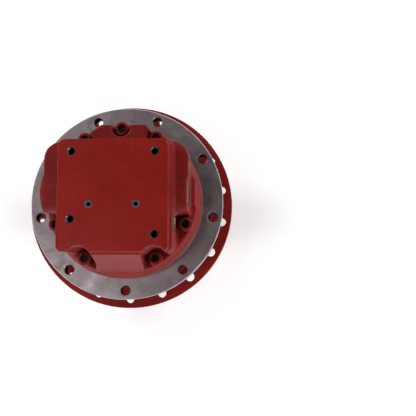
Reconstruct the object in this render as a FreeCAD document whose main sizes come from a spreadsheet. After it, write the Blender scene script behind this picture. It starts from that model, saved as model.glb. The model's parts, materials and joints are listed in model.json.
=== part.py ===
"""Track drive of a mini excavator: an axial piston motor, a valve block and a two-stage
planetary gearbox, as separate pieces in one frame.

Origin: the middle of the frame flange, on its machined face. +Z points to the valve block,
-Z to the hub cover. Lengths are in millimetres and angles in degrees.
"""
import FreeCAD, Part
import math
import os
import re
import Sketcher
from FreeCAD import Vector

os.makedirs("parts", exist_ok=True)
doc = FreeCAD.newDocument("final_drive")
sheet = doc.addObject("Spreadsheet::Sheet", "Sizes")

# ---------------------------------------------------------------- driving dimensions
SIZES = [
    # frame flange and spindle
    ("flange_r", 127, "frame flange, outside radius"),
    ("flange_thick", 16, "frame flange thickness"),
    ("frame_hole_circle_r", 115, "tapped frame holes, circle radius"),
    ("frame_hole_r", 6.1, "M14 tapped frame hole, core radius"),
    ("frame_hole_count", 9, "tapped frame holes"),
    ("frame_hole_mouth", 1.0, "chamfer at a frame hole's mouth"),
    ("pilot_r", 100, "frame pilot radius"),
    ("pilot_top_z", 18, "joint face of spindle and valve block"),
    ("edge_break", 1.0, "small machined chamfer"),
    ("overrun", 1, "how far a cut, or a solid that is joined on, runs past a face"),
    ("pilot_chamfer", 1.5, "chamfer of the pilot"),
    ("brake_bore_r", 62, "bore for brake plates and piston"),
    ("brake_floor_z", -12, "floor of the brake bore"),
    ("motor_bore_r", 50, "bore round the cylinder block"),
    ("motor_floor_z", -70, "inside of the spindle's end wall"),
    ("spindle_end_z", -94, "spindle end face"),
    ("collar_r", 103, "labyrinth collar, outside radius"),
    ("collar_end_z", -23, "labyrinth collar, end"),
    ("seal_seat_r", 97, "toric ring seat radius"),
    ("seal_floor_z", -11, "floor of the fixed seal recess"),
    ("shoulder_r", 74, "shoulder that the rear bearing stops on"),
    ("shoulder_z", -38, "face of that shoulder"),
    ("bearing_seat_r", 66, "bearing seat on the spindle"),
    ("nut_seat_step", 2, "thread of the bearing nut, distance under the bearing seat"),
    # tapered roller bearings
    ("cone_width", 18, "inner ring width"),
    ("cup_width", 16, "outer ring width"),
    ("cup_r", 90, "outer ring, outside radius"),
    ("cup_land_width", 6, "hub land between the outer rings"),
    ("cup_set_back", 2, "outer ring, distance of its thin end beyond the inner ring"),
    ("roller_circle_r", 78, "middle of a roller, radius"),
    ("roller_mean_r", 6, "roller radius at its middle"),
    ("roller_taper", 0.1, "roller radius gained and lost at its ends"),
    ("roller_length", 12.6, "roller length"),
    ("roller_tilt", 12, "angle of a roller to the axis"),
    ("roller_count", 20, "rollers in a row"),
    ("roller_gap", 0.25, "running gap of rollers and races"),
    ("rib_r", 80, "rib of an inner ring, outside radius"),
    ("rib_width", 1.2, "width of that rib"),
    ("nut_r", 76, "bearing nut, outside radius"),
    ("nut_slot_width", 9, "wrench slot of the nut"),
    ("nut_slot_depth", 4, "depth of that slot"),
    ("nut_slot_count", 4, "wrench slots"),
    # floating face seal
    ("seal_ring_in_r", 78, "seal ring bore"),
    ("seal_ring_r", 90, "seal ring, outside radius"),
    ("seal_ring_face_r", 87, "seal ring radius behind its face"),
    ("seal_ring_length", 11, "seal ring length"),
    ("seal_face_z", -24, "sealing face"),
    ("seal_face_gap", 0.1, "half of the film gap"),
    ("toric_length", 7, "toric ring, squeezed length"),
    ("toric_inset", 3.5, "toric ring, distance from the sealing face"),
    ("toric_corner", 1.5, "toric ring, slope of its corners"),
    ("seal_ring_slope", 0.5, "seal ring, half height of the slope behind its face"),
    # hub casing
    ("hub_rear_z", -19, "rear edge of the hub casing"),
    ("hub_rear_r", 112, "hub casing radius behind its flange"),
    ("labyrinth_gap", 2, "gap round the labyrinth collar"),
    ("casing_chamfer", 2, "chamfer at the rear of the casing and round the cover"),
    ("hub_seal_floor_z", -37, "floor of the rotating seal recess"),
    ("sprocket_flange_r", 139, "sprocket flange, outside radius"),
    ("sprocket_face_z", -40, "sprocket flange, rear face"),
    ("sprocket_flange_thick", 12, "sprocket flange thickness"),
    ("sprocket_hole_circle_r", 126.5, "sprocket holes, circle radius"),
    ("sprocket_hole_r", 6, "sprocket hole radius"),
    ("sprocket_hole_count", 18, "sprocket holes"),
    ("sprocket_hole_start", 10, "angle of the first sprocket hole"),
    ("sprocket_pilot_r", 115, "sprocket pilot radius"),
    ("sprocket_pilot_length", 8, "sprocket pilot length"),
    ("drum_r", 110, "hub drum radius"),
    ("hub_front_z", -156, "joint face of hub casing and cover"),
    # planetary gears
    ("tooth_module", 2.5, "module of all the gears"),
    ("ring_teeth", 66, "teeth of the ring gear"),
    ("sun_1_teeth", 12, "teeth of the first stage's sun"),
    ("planet_1_teeth", 27, "teeth of the first stage's planets"),
    ("sun_2_teeth", 18, "teeth of the second stage's sun"),
    ("planet_2_teeth", 24, "teeth of the second stage's planets"),
    ("planet_count", 3, "planets in each stage"),
    ("first_planet_angle", 90, "angle of the first planet"),
    ("backlash", 0.3, "backlash of each mesh"),
    ("spline_gap", 0.1, "clearance of a splined joint"),
    ("ring_r", 96, "ring gear, outside radius"),
    ("ring_front_z", -150, "front face of the ring gear"),
    ("stage_2_rear_z", -95, "second stage planets, rear face"),
    ("stage_2_width", 24, "second stage planets, face width"),
    ("stage_1_rear_z", -133, "first stage planets, rear face"),
    ("stage_1_width", 15, "first stage planets, face width"),
    ("pin_2_r", 10.5, "second stage pin radius"),
    ("pin_2_sunk", 18, "length of a second stage pin in the spindle"),
    ("pin_1_r", 8, "first stage pin radius"),
    ("pin_end", 3, "pin length beyond its planet"),
    ("needle_thick", 3.5, "needle bearing, radial thickness"),
    ("needle_gap", 0.2, "running gap of a needle bearing"),
    ("clip_thick", 1.5, "retaining ring thickness"),
    ("clip_height", 3, "retaining ring, radial height"),
    ("clip_gap", 0.4, "gap of planet and retaining ring"),
    ("clip_groove", 0.8, "depth of a retaining ring's groove"),
    ("needle_inset", 0.5, "needle bearing, distance from its planet's faces"),
    ("sun_1_set_back", 0.5, "first stage sun, distance under the planets' rear face"),
    ("sun_1_end_room", 2, "first stage sun, distance to the shaft's front end"),
    ("carrier_rear_z", -124, "first stage carrier, rear face"),
    ("carrier_thick", 8, "first stage carrier thickness"),
    ("carrier_lobe_r", 15, "radius of a carrier lobe round its pin"),
    ("carrier_hub_r", 32, "radius of the carrier's middle"),
    ("sun_2_bore_r", 13.5, "bore of the second stage's sun"),
    # hub cover
    ("cover_spigot_z", -150.5, "end of the cover's spigot"),
    ("cover_spigot_in_r", 80, "inside of the cover's spigot"),
    ("cover_inside_z", -163, "inner face of the cover"),
    ("cover_rim_thick", 8, "thickness of the cover's rim"),
    ("cover_rim_r", 92, "inner edge of the bolted rim"),
    ("cover_dome_r", 87, "radius of the raised middle"),
    ("dome_chamfer", 3, "chamfer round the raised middle"),
    ("cover_front_z", -174, "front face of the cover"),
    ("cover_screw_circle_r", 103, "cover screws, circle radius"),
    ("cover_screw_count", 12, "cover screws"),
    ("cover_screw_r", 4, "M8 cover screw radius"),
    ("cover_screw_sunk", 14, "thread length in the hub casing"),
    ("screw_hole_gap", 0.5, "clearance round a screw"),
    ("head_ratio", 1.55, "socket head radius over screw radius, with its rounding"),
    ("cover_socket_half", 3, "hexagon socket of a cover screw, half across flats"),
    ("plug_circle_r", 56, "oil plugs, circle radius"),
    ("plug_r", 9, "oil plug radius"),
    ("plug_depth", 8, "oil plug length"),
    ("plug_recess", 0.6, "depth of an oil plug under the cover's face"),
    ("plug_count", 3, "oil plugs"),
    ("plug_socket_half", 5, "hexagon socket of an oil plug, half across flats"),
    ("thrust_pad_r", 9, "thrust pad radius"),
    ("thrust_gap", 0.3, "gap of thrust pad and shaft end"),
    # motor
    ("shaft_top_z", 31, "rear end of the shaft"),
    ("shaft_r", 12, "shaft radius in its bearings"),
    ("shaft_spline_r", 14, "shaft radius under the cylinder block"),
    ("shaft_neck_r", 11, "shaft radius through the second stage's sun"),
    ("shaft_nose_r", 8, "shaft radius under the first stage's sun"),
    ("shaft_end_z", -152, "front end of the shaft"),
    ("bearing_bore_r", 26, "bore of the front shaft bearing"),
    ("shaft_bearing_width", 14, "front shaft bearing width"),
    ("shaft_seal_r", 24, "shaft seal, outside radius"),
    ("shaft_seal_width", 8, "shaft seal width"),
    ("shaft_hole_r", 18, "hole of the spindle round the shaft"),
    ("seal_lip_thick", 3, "shaft seal, distance of its body from the shaft"),
    ("shaft_step_rise", 4, "step of the shaft over the swash plate's face"),
    ("shaft_end_room", 2, "room behind the rear end of the shaft"),
    ("rear_bearing_r", 17, "rear needle bearing, outside radius"),
    ("rear_bearing_width", 12, "rear needle bearing width"),
    ("block_r", 42, "cylinder block radius"),
    ("block_spline_r", 44, "cylinder block radius under the friction discs"),
    ("block_top_z", 13.8, "sliding face of the cylinder block"),
    ("block_low_z", -28, "front end of the cylinder block"),
    ("valve_plate_r", 40, "valve plate radius"),
    ("valve_plate_thick", 4, "valve plate thickness"),
    ("shaft_pass_gap", 3, "gap of shaft and valve plate"),
    ("bore_wall", 6, "wall between a cylinder bore and the sliding face"),
    ("kidney_width", 8, "width of a kidney slot"),
    ("kidney_half_angle", 62, "half of a kidney slot's angle"),
    ("piston_circle_r", 29, "pistons, circle radius"),
    ("piston_r", 8, "piston radius"),
    ("piston_gap", 0.1, "running gap of a piston"),
    ("piston_count", 9, "pistons"),
    ("piston_top_z", -3, "top of a piston"),
    ("piston_neck_r", 4.5, "piston neck radius"),
    ("piston_stand_out", 4, "length of a piston under the cylinder block"),
    ("shoe_face_z", -49, "running face of the swash plate"),
    ("shoe_gap", 0.2, "oil film under a shoe"),
    ("shoe_r", 9.4, "shoe radius"),
    ("shoe_thick", 2.6, "shoe thickness"),
    ("shoe_neck_r", 7, "shoe neck radius"),
    ("shoe_height", 9, "shoe height"),
    ("shoe_floor", 2, "floor under a piston's neck in its shoe"),
    ("retainer_r", 40, "shoe retainer radius"),
    ("retainer_thick", 2.5, "shoe retainer thickness"),
    ("retainer_bore_gap", 1, "gap of shoe retainer and shaft"),
    ("guide_r", 18, "ball guide radius"),
    ("guide_height", 10, "ball guide height"),
    ("guide_bulge", 1, "ball guide, how far its round side stands out and in"),
    ("guide_bulge_height", 4, "ball guide, height of its widest place"),
    ("swash_r", 46, "swash plate radius"),
    ("swash_thick", 11, "swash plate thickness"),
    ("swash_bore_r", 18, "swash plate bore"),
    ("cradle_r", 15, "swash cradle radius"),
    ("cradle_axis_z", -54, "tilting axis of the swash plate"),
    ("cradle_in_x", 22, "inner end of a cradle"),
    ("cradle_width", 16, "width of a cradle"),
    ("shell_half_y", 14, "half width of a cradle seat"),
    ("shell_gap", 0.3, "gap of a cradle seat and the swash plate's back"),
    ("shift_piston_r", 7, "swash shifting piston radius"),
    ("shift_piston_y", -36, "place of the shifting piston"),
    ("shift_bore_z", -82, "bottom of the shifting piston's bore"),
    ("shift_oil_room", 4, "room under the shifting piston"),
    # brake
    ("plate_thick", 2, "thickness of a brake plate"),
    ("plate_gap", 0.1, "gap of released brake plates"),
    ("friction_disc_count", 2, "friction discs, each between two steel plates"),
    ("plate_in_r", 45.5, "bore of a steel brake plate"),
    ("disc_rim_gap", 3.5, "gap of a friction disc and the brake bore"),
    ("block_spline_teeth", 16, "spline teeth of cylinder block and discs"),
    ("plate_lug_count", 6, "lugs of a steel brake plate"),
    ("plate_lug_r", 5, "radius of a lug"),
    ("brake_piston_top_z", 12.3, "top of the brake piston"),
    ("brake_gap", 0.2, "running gap of the brake piston"),
    ("brake_piston_in_gap", 1.5, "gap of brake piston and cylinder block"),
    ("disc_spring_thick", 1.2, "disc spring thickness"),
    ("disc_spring_rise", 1.6, "free cone height of a disc spring"),
    ("disc_spring_in_gap", 3, "disc spring, gap at the cylinder block"),
    ("disc_spring_out_gap", 2, "disc spring, gap at the brake bore"),
    # valve block
    ("base_r", 98.5, "base flange of the valve block, radius"),
    ("base_rim_r", 95, "radius of the flange above its sloping rim"),
    ("base_rim_z", 26, "foot of the sloping rim"),
    ("base_rim_height", 6, "height of the sloping rim"),
    ("base_top_z", 38, "top of the base flange"),
    ("pad_half_x", 64.5, "top pad, half width"),
    ("pad_low_y", -70.5, "top pad, lower edge"),
    ("pad_high_y", 60.5, "top pad, upper edge"),
    ("pad_z", 110, "top face of the valve block"),
    ("pad_height", 10, "height of the machined pad"),
    ("body_right_x", 69, "right side of the block's body"),
    ("pad_corner_r", 9, "rounding of the pad's upper right corner"),
    ("body_corner_r", 7, "rounding of the other corners of pad and body"),
    ("skirt_low_y", -92, "foot of the sloping skirt"),
    ("skirt_slope_y", -73.5, "upper edge of the skirt's slope"),
    ("skirt_top_left", -26, "left end of the skirt's upper edge"),
    ("skirt_top_right", 33, "right end of the skirt's upper edge"),
    ("skirt_foot_left", -38, "left end of the skirt's foot"),
    ("skirt_foot_right", 30, "right end of the skirt's foot"),
    ("skirt_foot_height", 6, "height of the skirt's upright foot"),
    ("step_half_x", 41, "half width of the upper step at its foot"),
    ("step_foot_y", 79, "where the sides of the upper step turn inwards"),
    ("step_left", -25, "left end of the step's outer face"),
    ("step_right", 31, "right end of the step's outer face"),
    ("step_y", 90.5, "outer face of the upper step"),
    ("step_z", 58, "top of the upper step"),
    ("boss_r", 24, "port boss radius"),
    ("boss_y", 1, "port boss, place of its axis"),
    ("boss_z", 72, "port boss, height of its axis"),
    ("left_boss_x", 88, "end of the left port boss"),
    ("right_boss_x", 85.5, "end of the right port boss"),
    ("lug_x", 86.5, "outer side of the side lugs"),
    ("lug_y", 62, "upper side of the side lugs"),
    ("lug_z", 88, "top of the side lugs"),
    ("lug_corner_r", 20, "rounding of a side lug"),
    ("ledge_x", 92.5, "outer side of the low ledge beside the right boss"),
    ("ledge_low_y", -10, "lower end of that ledge"),
    ("ledge_high_y", 31, "upper end of that ledge"),
    ("ledge_z", 46, "top of that ledge"),
    ("ledge_slope", 8, "width of the slope at its upper end"),
    ("block_screw_circle_r", 87, "valve block screws, circle radius"),
    ("block_screw_r", 6, "M12 valve block screw radius"),
    ("block_screw_sunk", 22, "thread length in the spindle"),
    ("block_head_r", 9, "head radius of a valve block screw"),
    ("block_head_rounding", 1, "slope of that head's edge"),
    ("block_socket_half", 5, "hexagon socket of that head, half across flats"),
    ("screw_pocket_r", 11.5, "pocket round a screw head"),
    ("wide_pocket_r", 15, "pockets of the two screws beside the skirt"),
    ("wide_pocket_shift", 4, "their distance from the screws along X"),
    ("wide_pocket_drop", 3, "their distance from the screws along Y"),
    ("main_port_r", 11, "main port, thread core radius"),
    ("main_port_depth", 24, "main port depth"),
    ("spot_face_r", 17, "spot face of a main port"),
    ("spot_face_depth", 1.2, "depth of that spot face"),
    ("drain_port_r", 8.4, "drain port radius"),
    ("drain_port_depth", 15, "drain port depth"),
    ("drain_port_y", 41, "drain port, place of its axis"),
    ("drain_port_z", 62, "drain port, height of its axis"),
    ("passage_r", 4, "drilled oil passage radius"),
    ("main_passage_r", 7, "radius of a main port's drilling"),
    ("spool_passage_length", 24, "drilling from a main port to the spool bore"),
    ("case_drain_x", -12, "upright drilling to the motor case"),
    ("pilot_port_r", 5, "pilot port radius"),
    ("pilot_port_depth", 14, "pilot port depth"),
    ("pilot_port_x", -22, "pilot port, place of its axis"),
    ("pilot_port_z", 82, "pilot port, height of its axis"),
    ("top_hole_x", 48.5, "tapped holes of the top face, distance from the middle"),
    ("top_hole_high_y", 46, "upper pair of tapped holes"),
    ("left_hole_y", -33, "lower left tapped hole"),
    ("right_hole_y", -50.5, "lower right tapped hole"),
    ("top_hole_r", 4.25, "M10 tapped hole, core radius"),
    ("top_hole_depth", 18, "depth of a tapped hole"),
    ("orifice_x", 27.2, "gauge ports, distance from the middle"),
    ("orifice_y", -16, "gauge ports, place"),
    ("orifice_r", 2.6, "gauge port radius"),
    ("orifice_mouth_r", 4.2, "gauge port mouth radius"),
    ("orifice_depth", 14, "gauge port depth"),
    ("orifice_mouth_depth", 2, "depth of a gauge port's mouth"),
    ("gauge_drill_r", 1.5, "drilling from a gauge port to its passage"),
    # spools
    ("spool_y", -32, "counterbalance spool, place of its axis"),
    ("spool_z", 70, "counterbalance spool, height of its axis"),
    ("spool_r", 11, "counterbalance spool radius"),
    ("spool_neck_r", 7, "radius between the lands"),
    ("spool_half", 36, "half length of the counterbalance spool"),
    ("spool_land_length", 16, "end land of the counterbalance spool"),
    ("spool_middle_half", 7, "half length of its middle land"),
    ("spool_gap", 0.2, "running gap of a spool"),
    ("spring_r", 9.7, "counterbalance spring, outside radius"),
    ("spring_wire", 2.2, "side of its square wire"),
    ("spring_turns", 3, "coils of a spool spring"),
    ("spring_end_gap", 0.1, "gap of a spring and what it rests on"),
    ("plug_thread_length", 12, "length of a spool plug"),
    ("spool_plug_socket_half", 5, "hexagon socket of a spool plug, half across flats"),
    ("speed_spool_x", 22, "two-speed spool, place of its axis"),
    ("speed_spool_z", 66, "two-speed spool, height of its axis"),
    ("speed_spool_r", 6.5, "two-speed spool radius"),
    ("speed_bore_y", 10, "bottom of the two-speed spool's bore"),
    ("speed_spool_length", 26, "two-speed spool length"),
    ("speed_land_length", 10, "inner land of the two-speed spool"),
    ("speed_neck_length", 7, "length of its neck"),
    ("speed_neck_r", 4, "radius of its neck"),
    ("speed_spring_r", 5.6, "two-speed spring, outside radius"),
    ("speed_wire", 1.6, "side of its square wire"),
    ("speed_plug_socket_half", 3, "hexagon socket of the two-speed plug, half across flats"),
    # static seals
    ("o_ring_r", 1.5, "half height of an O-ring's section"),
    ("o_ring_flat", 0.7, "half width of its flat sides"),
    ("o_ring_room", 0.3, "groove of an O-ring, room at each side"),
    ("face_o_ring_r", 73, "O-ring under the valve block, radius to its middle"),
]
ALIASES = set()
for row, (alias, value, note) in enumerate(SIZES, start=1):
    sheet.set("A%d" % row, note)
    sheet.set("B%d" % row, str(value))
    sheet.setAlias("B%d" % row, alias)
    ALIASES.add(alias)
doc.recompute()

BLOCK_SCREW_ANGLES = [60, 90, 122.5, 202.5, 240, 300, 337.5]
WIDE_POCKET_ANGLES = [240, 300]
NEAR = 0.01

# heights and radii that several pieces share, as formulas on the sheet
SEAL_LOW = "motor_floor_z - shaft_bearing_width - shaft_seal_width"
BEARING_LOW = "motor_floor_z - shaft_bearing_width"
REAR_ROLLER_Z = "shoulder_z - cone_width / 2"
CUP_LAND_REAR = "shoulder_z - cone_width - cup_set_back"
CUP_LAND_FRONT = CUP_LAND_REAR + " - cup_land_width"
FRONT_ROLLER_Z = "2 * (" + CUP_LAND_REAR + " - cup_land_width / 2) - (" + REAR_ROLLER_Z + ")"
FRONT_CONE_END = FRONT_ROLLER_Z + " - cone_width / 2"
STAGE_1_CIRCLE = "tooth_module * (sun_1_teeth + planet_1_teeth) / 2"
STAGE_2_CIRCLE = "tooth_module * (sun_2_teeth + planet_2_teeth) / 2"
SPROCKET_FRONT = "sprocket_face_z - sprocket_flange_thick"
CUP_LAND_R = "roller_circle_r + roller_mean_r"
NUT_SEAT_R = "bearing_seat_r - nut_seat_step"
PLATES_TOP = "brake_floor_z + (2 * friction_disc_count + 1) * (plate_thick + plate_gap)"
COVER_O_RING_Z = "(hub_front_z + cover_spigot_z) / 2"
O_RING_HALF = "(o_ring_r + o_ring_room)"


def size(alias):
    """Read one size from the sheet."""
    return float(sheet.get(alias))


def bound(text):
    """Turn a formula of aliases into an expression on the sheet."""
    return re.sub(r"[a-z]\w+", lambda w: "Sizes." + w[0] if w[0] in ALIASES else w[0], str(text))


def worth(formula):
    """The number that a formula of aliases gives."""
    return float(sheet.evalExpression(bound(formula)))


# ---------------------------------------------------------------- sketches and features
def new_body(label):
    body = doc.addObject("PartDesign::Body", label)
    body.Label = label
    body.AllowCompound = True
    return body


def origin_feature(body, role):
    return [item for item in body.Origin.OriginFeatures if item.Role == role][0]


def new_sketch(body, name, plane, offset="0"):
    """A sketch on one of the body's origin planes, lifted along the plane's normal."""
    sketch = body.newObject("Sketcher::SketchObject", name)
    sketch.AttachmentSupport = [(origin_feature(body, plane), "")]
    sketch.MapMode = "FlatFace"
    sketch.setExpression(".AttachmentOffset.Base.z", bound(offset))
    return sketch


def fix_point(sketch, geometry, vertex, place):
    for kind, formula in zip(("DistanceX", "DistanceY"), place):
        reach = worth(formula)
        index = sketch.addConstraint(Sketcher.Constraint(kind, -1, 1, geometry, vertex, reach))
        sketch.setExpression("Constraints[%d]" % index, bound(formula))


def outline(sketch, points):
    """A closed outline of straight edges whose corners are held by formulas."""
    count = len(points)
    first = sketch.GeometryCount
    ring = [Vector(math.cos(i * math.tau / count), math.sin(i * math.tau / count), 0)
            for i in range(count)]
    for i in range(count):
        sketch.addGeometry(Part.LineSegment(ring[i], ring[(i + 1) % count]), False)
    for i in range(count):
        following = first + (i + 1) % count
        sketch.addConstraint(Sketcher.Constraint("Coincident", first + i, 2, following, 1))
    for i, place in enumerate(points):
        fix_point(sketch, first + i, 1, place)


def rounded_box(sketch, left, right, low, high, radii):
    """A rectangle with rounded corners; radii go round from the lower left corner."""
    first = sketch.GeometryCount
    quarter = math.pi / 2
    for number, radius in enumerate(radii):
        x, way_x = (left, "+") if number in (0, 3) else (right, "-")
        y, way_y = (low, "+") if number < 2 else (high, "-")
        centre = ("%s %s %s" % (x, way_x, radius), "%s %s %s" % (y, way_y, radius))
        ends = [(x, centre[1]), (centre[0], y)]
        if number % 2:
            ends.reverse()
        middle = Vector(worth(centre[0]), worth(centre[1]), 0)
        whole = Part.Circle(middle, Vector(0, 0, 1), size(radius))
        start = quarter * (number + 2)
        index = sketch.addGeometry(Part.ArcOfCircle(whole, start, start + quarter), False)
        for vertex, end in zip((1, 2), ends):
            fix_point(sketch, index, vertex, end)
        held = sketch.addConstraint(Sketcher.Constraint("Radius", index, size(radius)))
        sketch.setExpression("Constraints[%d]" % held, bound(radius))
    for number in range(4):
        arc, following = first + number, first + (number + 1) % 4
        side = Part.LineSegment(sketch.Geometry[arc].EndPoint, sketch.Geometry[following].StartPoint)
        index = sketch.addGeometry(side, False)
        sketch.addConstraint(Sketcher.Constraint("Coincident", arc, 2, index, 1))
        sketch.addConstraint(Sketcher.Constraint("Coincident", index, 2, following, 1))


def circle(sketch, place, radius):
    index = sketch.addGeometry(Part.Circle(Vector(1, 1, 0), Vector(0, 0, 1), 1), False)
    fix_point(sketch, index, 3, place)
    held = sketch.addConstraint(Sketcher.Constraint("Radius", index, 1.0))
    sketch.setExpression("Constraints[%d]" % held, bound(radius))


def axis_line(sketch, start, end):
    """A construction line to turn a profile round."""
    index = sketch.addGeometry(Part.LineSegment(Vector(0, 0, 0), Vector(1, 1, 0)), True)
    fix_point(sketch, index, 1, start)
    fix_point(sketch, index, 2, end)


def revolve(body, name, sketch, axis="V_Axis"):
    turn = body.newObject("PartDesign::Revolution", name)
    turn.Profile = sketch
    turn.ReferenceAxis = (sketch, [axis])
    turn.Angle = 360
    return turn


def turned(label, points):
    """A body turned round Z from an outline of radius and height."""
    body = new_body(label)
    sketch = new_sketch(body, label + "_profile", "XZ_Plane")
    outline(sketch, points)
    revolve(body, label + "_turn", sketch)
    return body


def turned_aside(label, points, start, end, count, angle="0"):
    """Equal pieces turned round their own axis, set in a circle round Z."""
    body = new_body(label)
    sketch = new_sketch(body, label + "_profile", "XZ_Plane")
    outline(sketch, points)
    axis_line(sketch, start, end)
    turn = revolve(body, label + "_turn", sketch, "Axis0")
    polar(body, [turn], count)
    body.setExpression(".Placement.Rotation.Angle", bound(angle))
    return body


def polar(body, features, count):
    """Repeat features round Z."""
    pattern = body.newObject("PartDesign::PolarPattern", body.Label + "_circle")
    pattern.Originals = features
    pattern.Axis = (origin_feature(body, "Z_Axis"), [""])
    pattern.Angle = 360
    pattern.setExpression("Occurrences", bound(count))
    body.Tip = pattern
    return pattern


def pad(body, name, sketch, length, reversed_way=False):
    feature = body.newObject("PartDesign::Pad", name)
    feature.Profile = sketch
    feature.setExpression("Length", bound(length))
    feature.Reversed = reversed_way
    return feature


def pocket(body, name, sketch, length=None, reversed_way=False):
    """A cut of one depth, or right through when no length is given."""
    feature = body.newObject("PartDesign::Pocket", name)
    feature.Profile = sketch
    if length is None:
        feature.Type = "ThroughAll"
        feature.Midplane = True
    else:
        feature.setExpression("Length", bound(length))
        feature.Reversed = reversed_way
    return feature


def hole_circle(body, name, level, circle_r, hole_r, depth, count, angle="0", upward=False):
    """A ring of round holes, from a level down, or up."""
    sketch = new_sketch(body, name + "_sketch", "XY_Plane", level)
    circle(sketch, ("(%s) * cos(%s)" % (circle_r, angle), "(%s) * sin(%s)" % (circle_r, angle)), hole_r)
    cut = pocket(body, name, sketch, depth, upward)
    polar(body, [cut], count)


def hexagon(sketch, place, flat):
    """A hexagon socket outline; flat is half its width across flats."""
    corners = []
    for i in range(6):
        across = "(%s) / cos(30)" % flat
        corners.append(("(%s) + %s * cos(%d)" % (place[0], across, 60 * i + 30),
                        "(%s) + %s * sin(%d)" % (place[1], across, 60 * i + 30)))
    outline(sketch, corners)


def plain(label, shape):
    """A piece whose form comes from a formula, such as teeth, as a plain Part feature."""
    piece = doc.addObject("Part::Feature", label)
    piece.Label = label
    piece.Shape = shape
    piece.Placement = shape.Placement
    return piece


def spun(shape, angle):
    """A copy of a shape turned round Z."""
    copy = shape.copy()
    copy.rotate(Vector(0, 0, 0), Vector(0, 0, 1), angle)
    return copy


# ---------------------------------------------------------------- involute teeth
PRESSURE_ANGLE = 20
# tooth heights over and under the pitch circle, and those of a close spline, in modules
ADDENDUM = 1.0
DEDENDUM = 1.25
SPLINE_ADDENDUM = 1.05
SPLINE_DEDENDUM = 1.2


def involute(angle):
    return math.tan(angle) - angle


def tooth_face(teeth, outward, inward, thicker, phase):
    """A flat face bounded by involute teeth.

    outward and inward are the tooth heights over and under the pitch circle in modules,
    thicker is added to the tooth thickness, and phase is the angle of one tooth's middle.
    """
    module = size("tooth_module")
    pitch_r = module * teeth / 2
    pressure = math.radians(PRESSURE_ANGLE)
    base_r = pitch_r * math.cos(pressure)
    half_at_pitch = math.pi / 2 / teeth + thicker / 2 / pitch_r
    root_r = pitch_r - inward * module
    tip_r = pitch_r + outward * module
    levels = [root_r, max(base_r, (root_r + pitch_r) / 2), tip_r]
    points = []
    for tooth in range(teeth):
        middle = math.radians(phase) + math.tau * tooth / teeth
        flank = []
        for radius in levels:
            roll = math.acos(min(1.0, base_r / radius))
            flank.append((radius, half_at_pitch + involute(pressure) - involute(roll)))
        for radius, half in flank:
            points.append(Vector(radius * math.cos(middle - half), radius * math.sin(middle - half), 0))
        for radius, half in reversed(flank):
            points.append(Vector(radius * math.cos(middle + half), radius * math.sin(middle + half), 0))
    return Part.Face(Part.makePolygon(points + points[:1]))


def slab(face, top, bottom):
    """A face drawn at height 0, as a solid from one height to another."""
    solid = face.extrude(Vector(0, 0, top - bottom))
    solid.translate(Vector(0, 0, bottom))
    return solid


def drum(radius, top, bottom, place=Vector(0, 0, 0)):
    return Part.makeCylinder(radius, top - bottom, place + Vector(0, 0, bottom))


def punch(face, top, bottom):
    """A cutter with the outline of a face, which runs past both heights."""
    return slab(face, top + size("overrun"), bottom - size("overrun"))


def drill(radius, top, bottom, place=Vector(0, 0, 0)):
    """A round cutter that runs past both heights."""
    return drum(radius, top + size("overrun"), bottom - size("overrun"), place)


def gear(label, teeth, phase, top, bottom, bore_r, centre=Vector(0, 0, 0)):
    face = tooth_face(teeth, ADDENDUM, DEDENDUM, -size("backlash") / 2, phase)
    solid = slab(face, top, bottom).cut(drill(bore_r, top, bottom))
    solid.translate(centre)
    return plain(label, solid)


def on_circle(radius, angle):
    turn = math.radians(angle)
    return Vector(radius * math.cos(turn), radius * math.sin(turn), 0)


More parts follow.
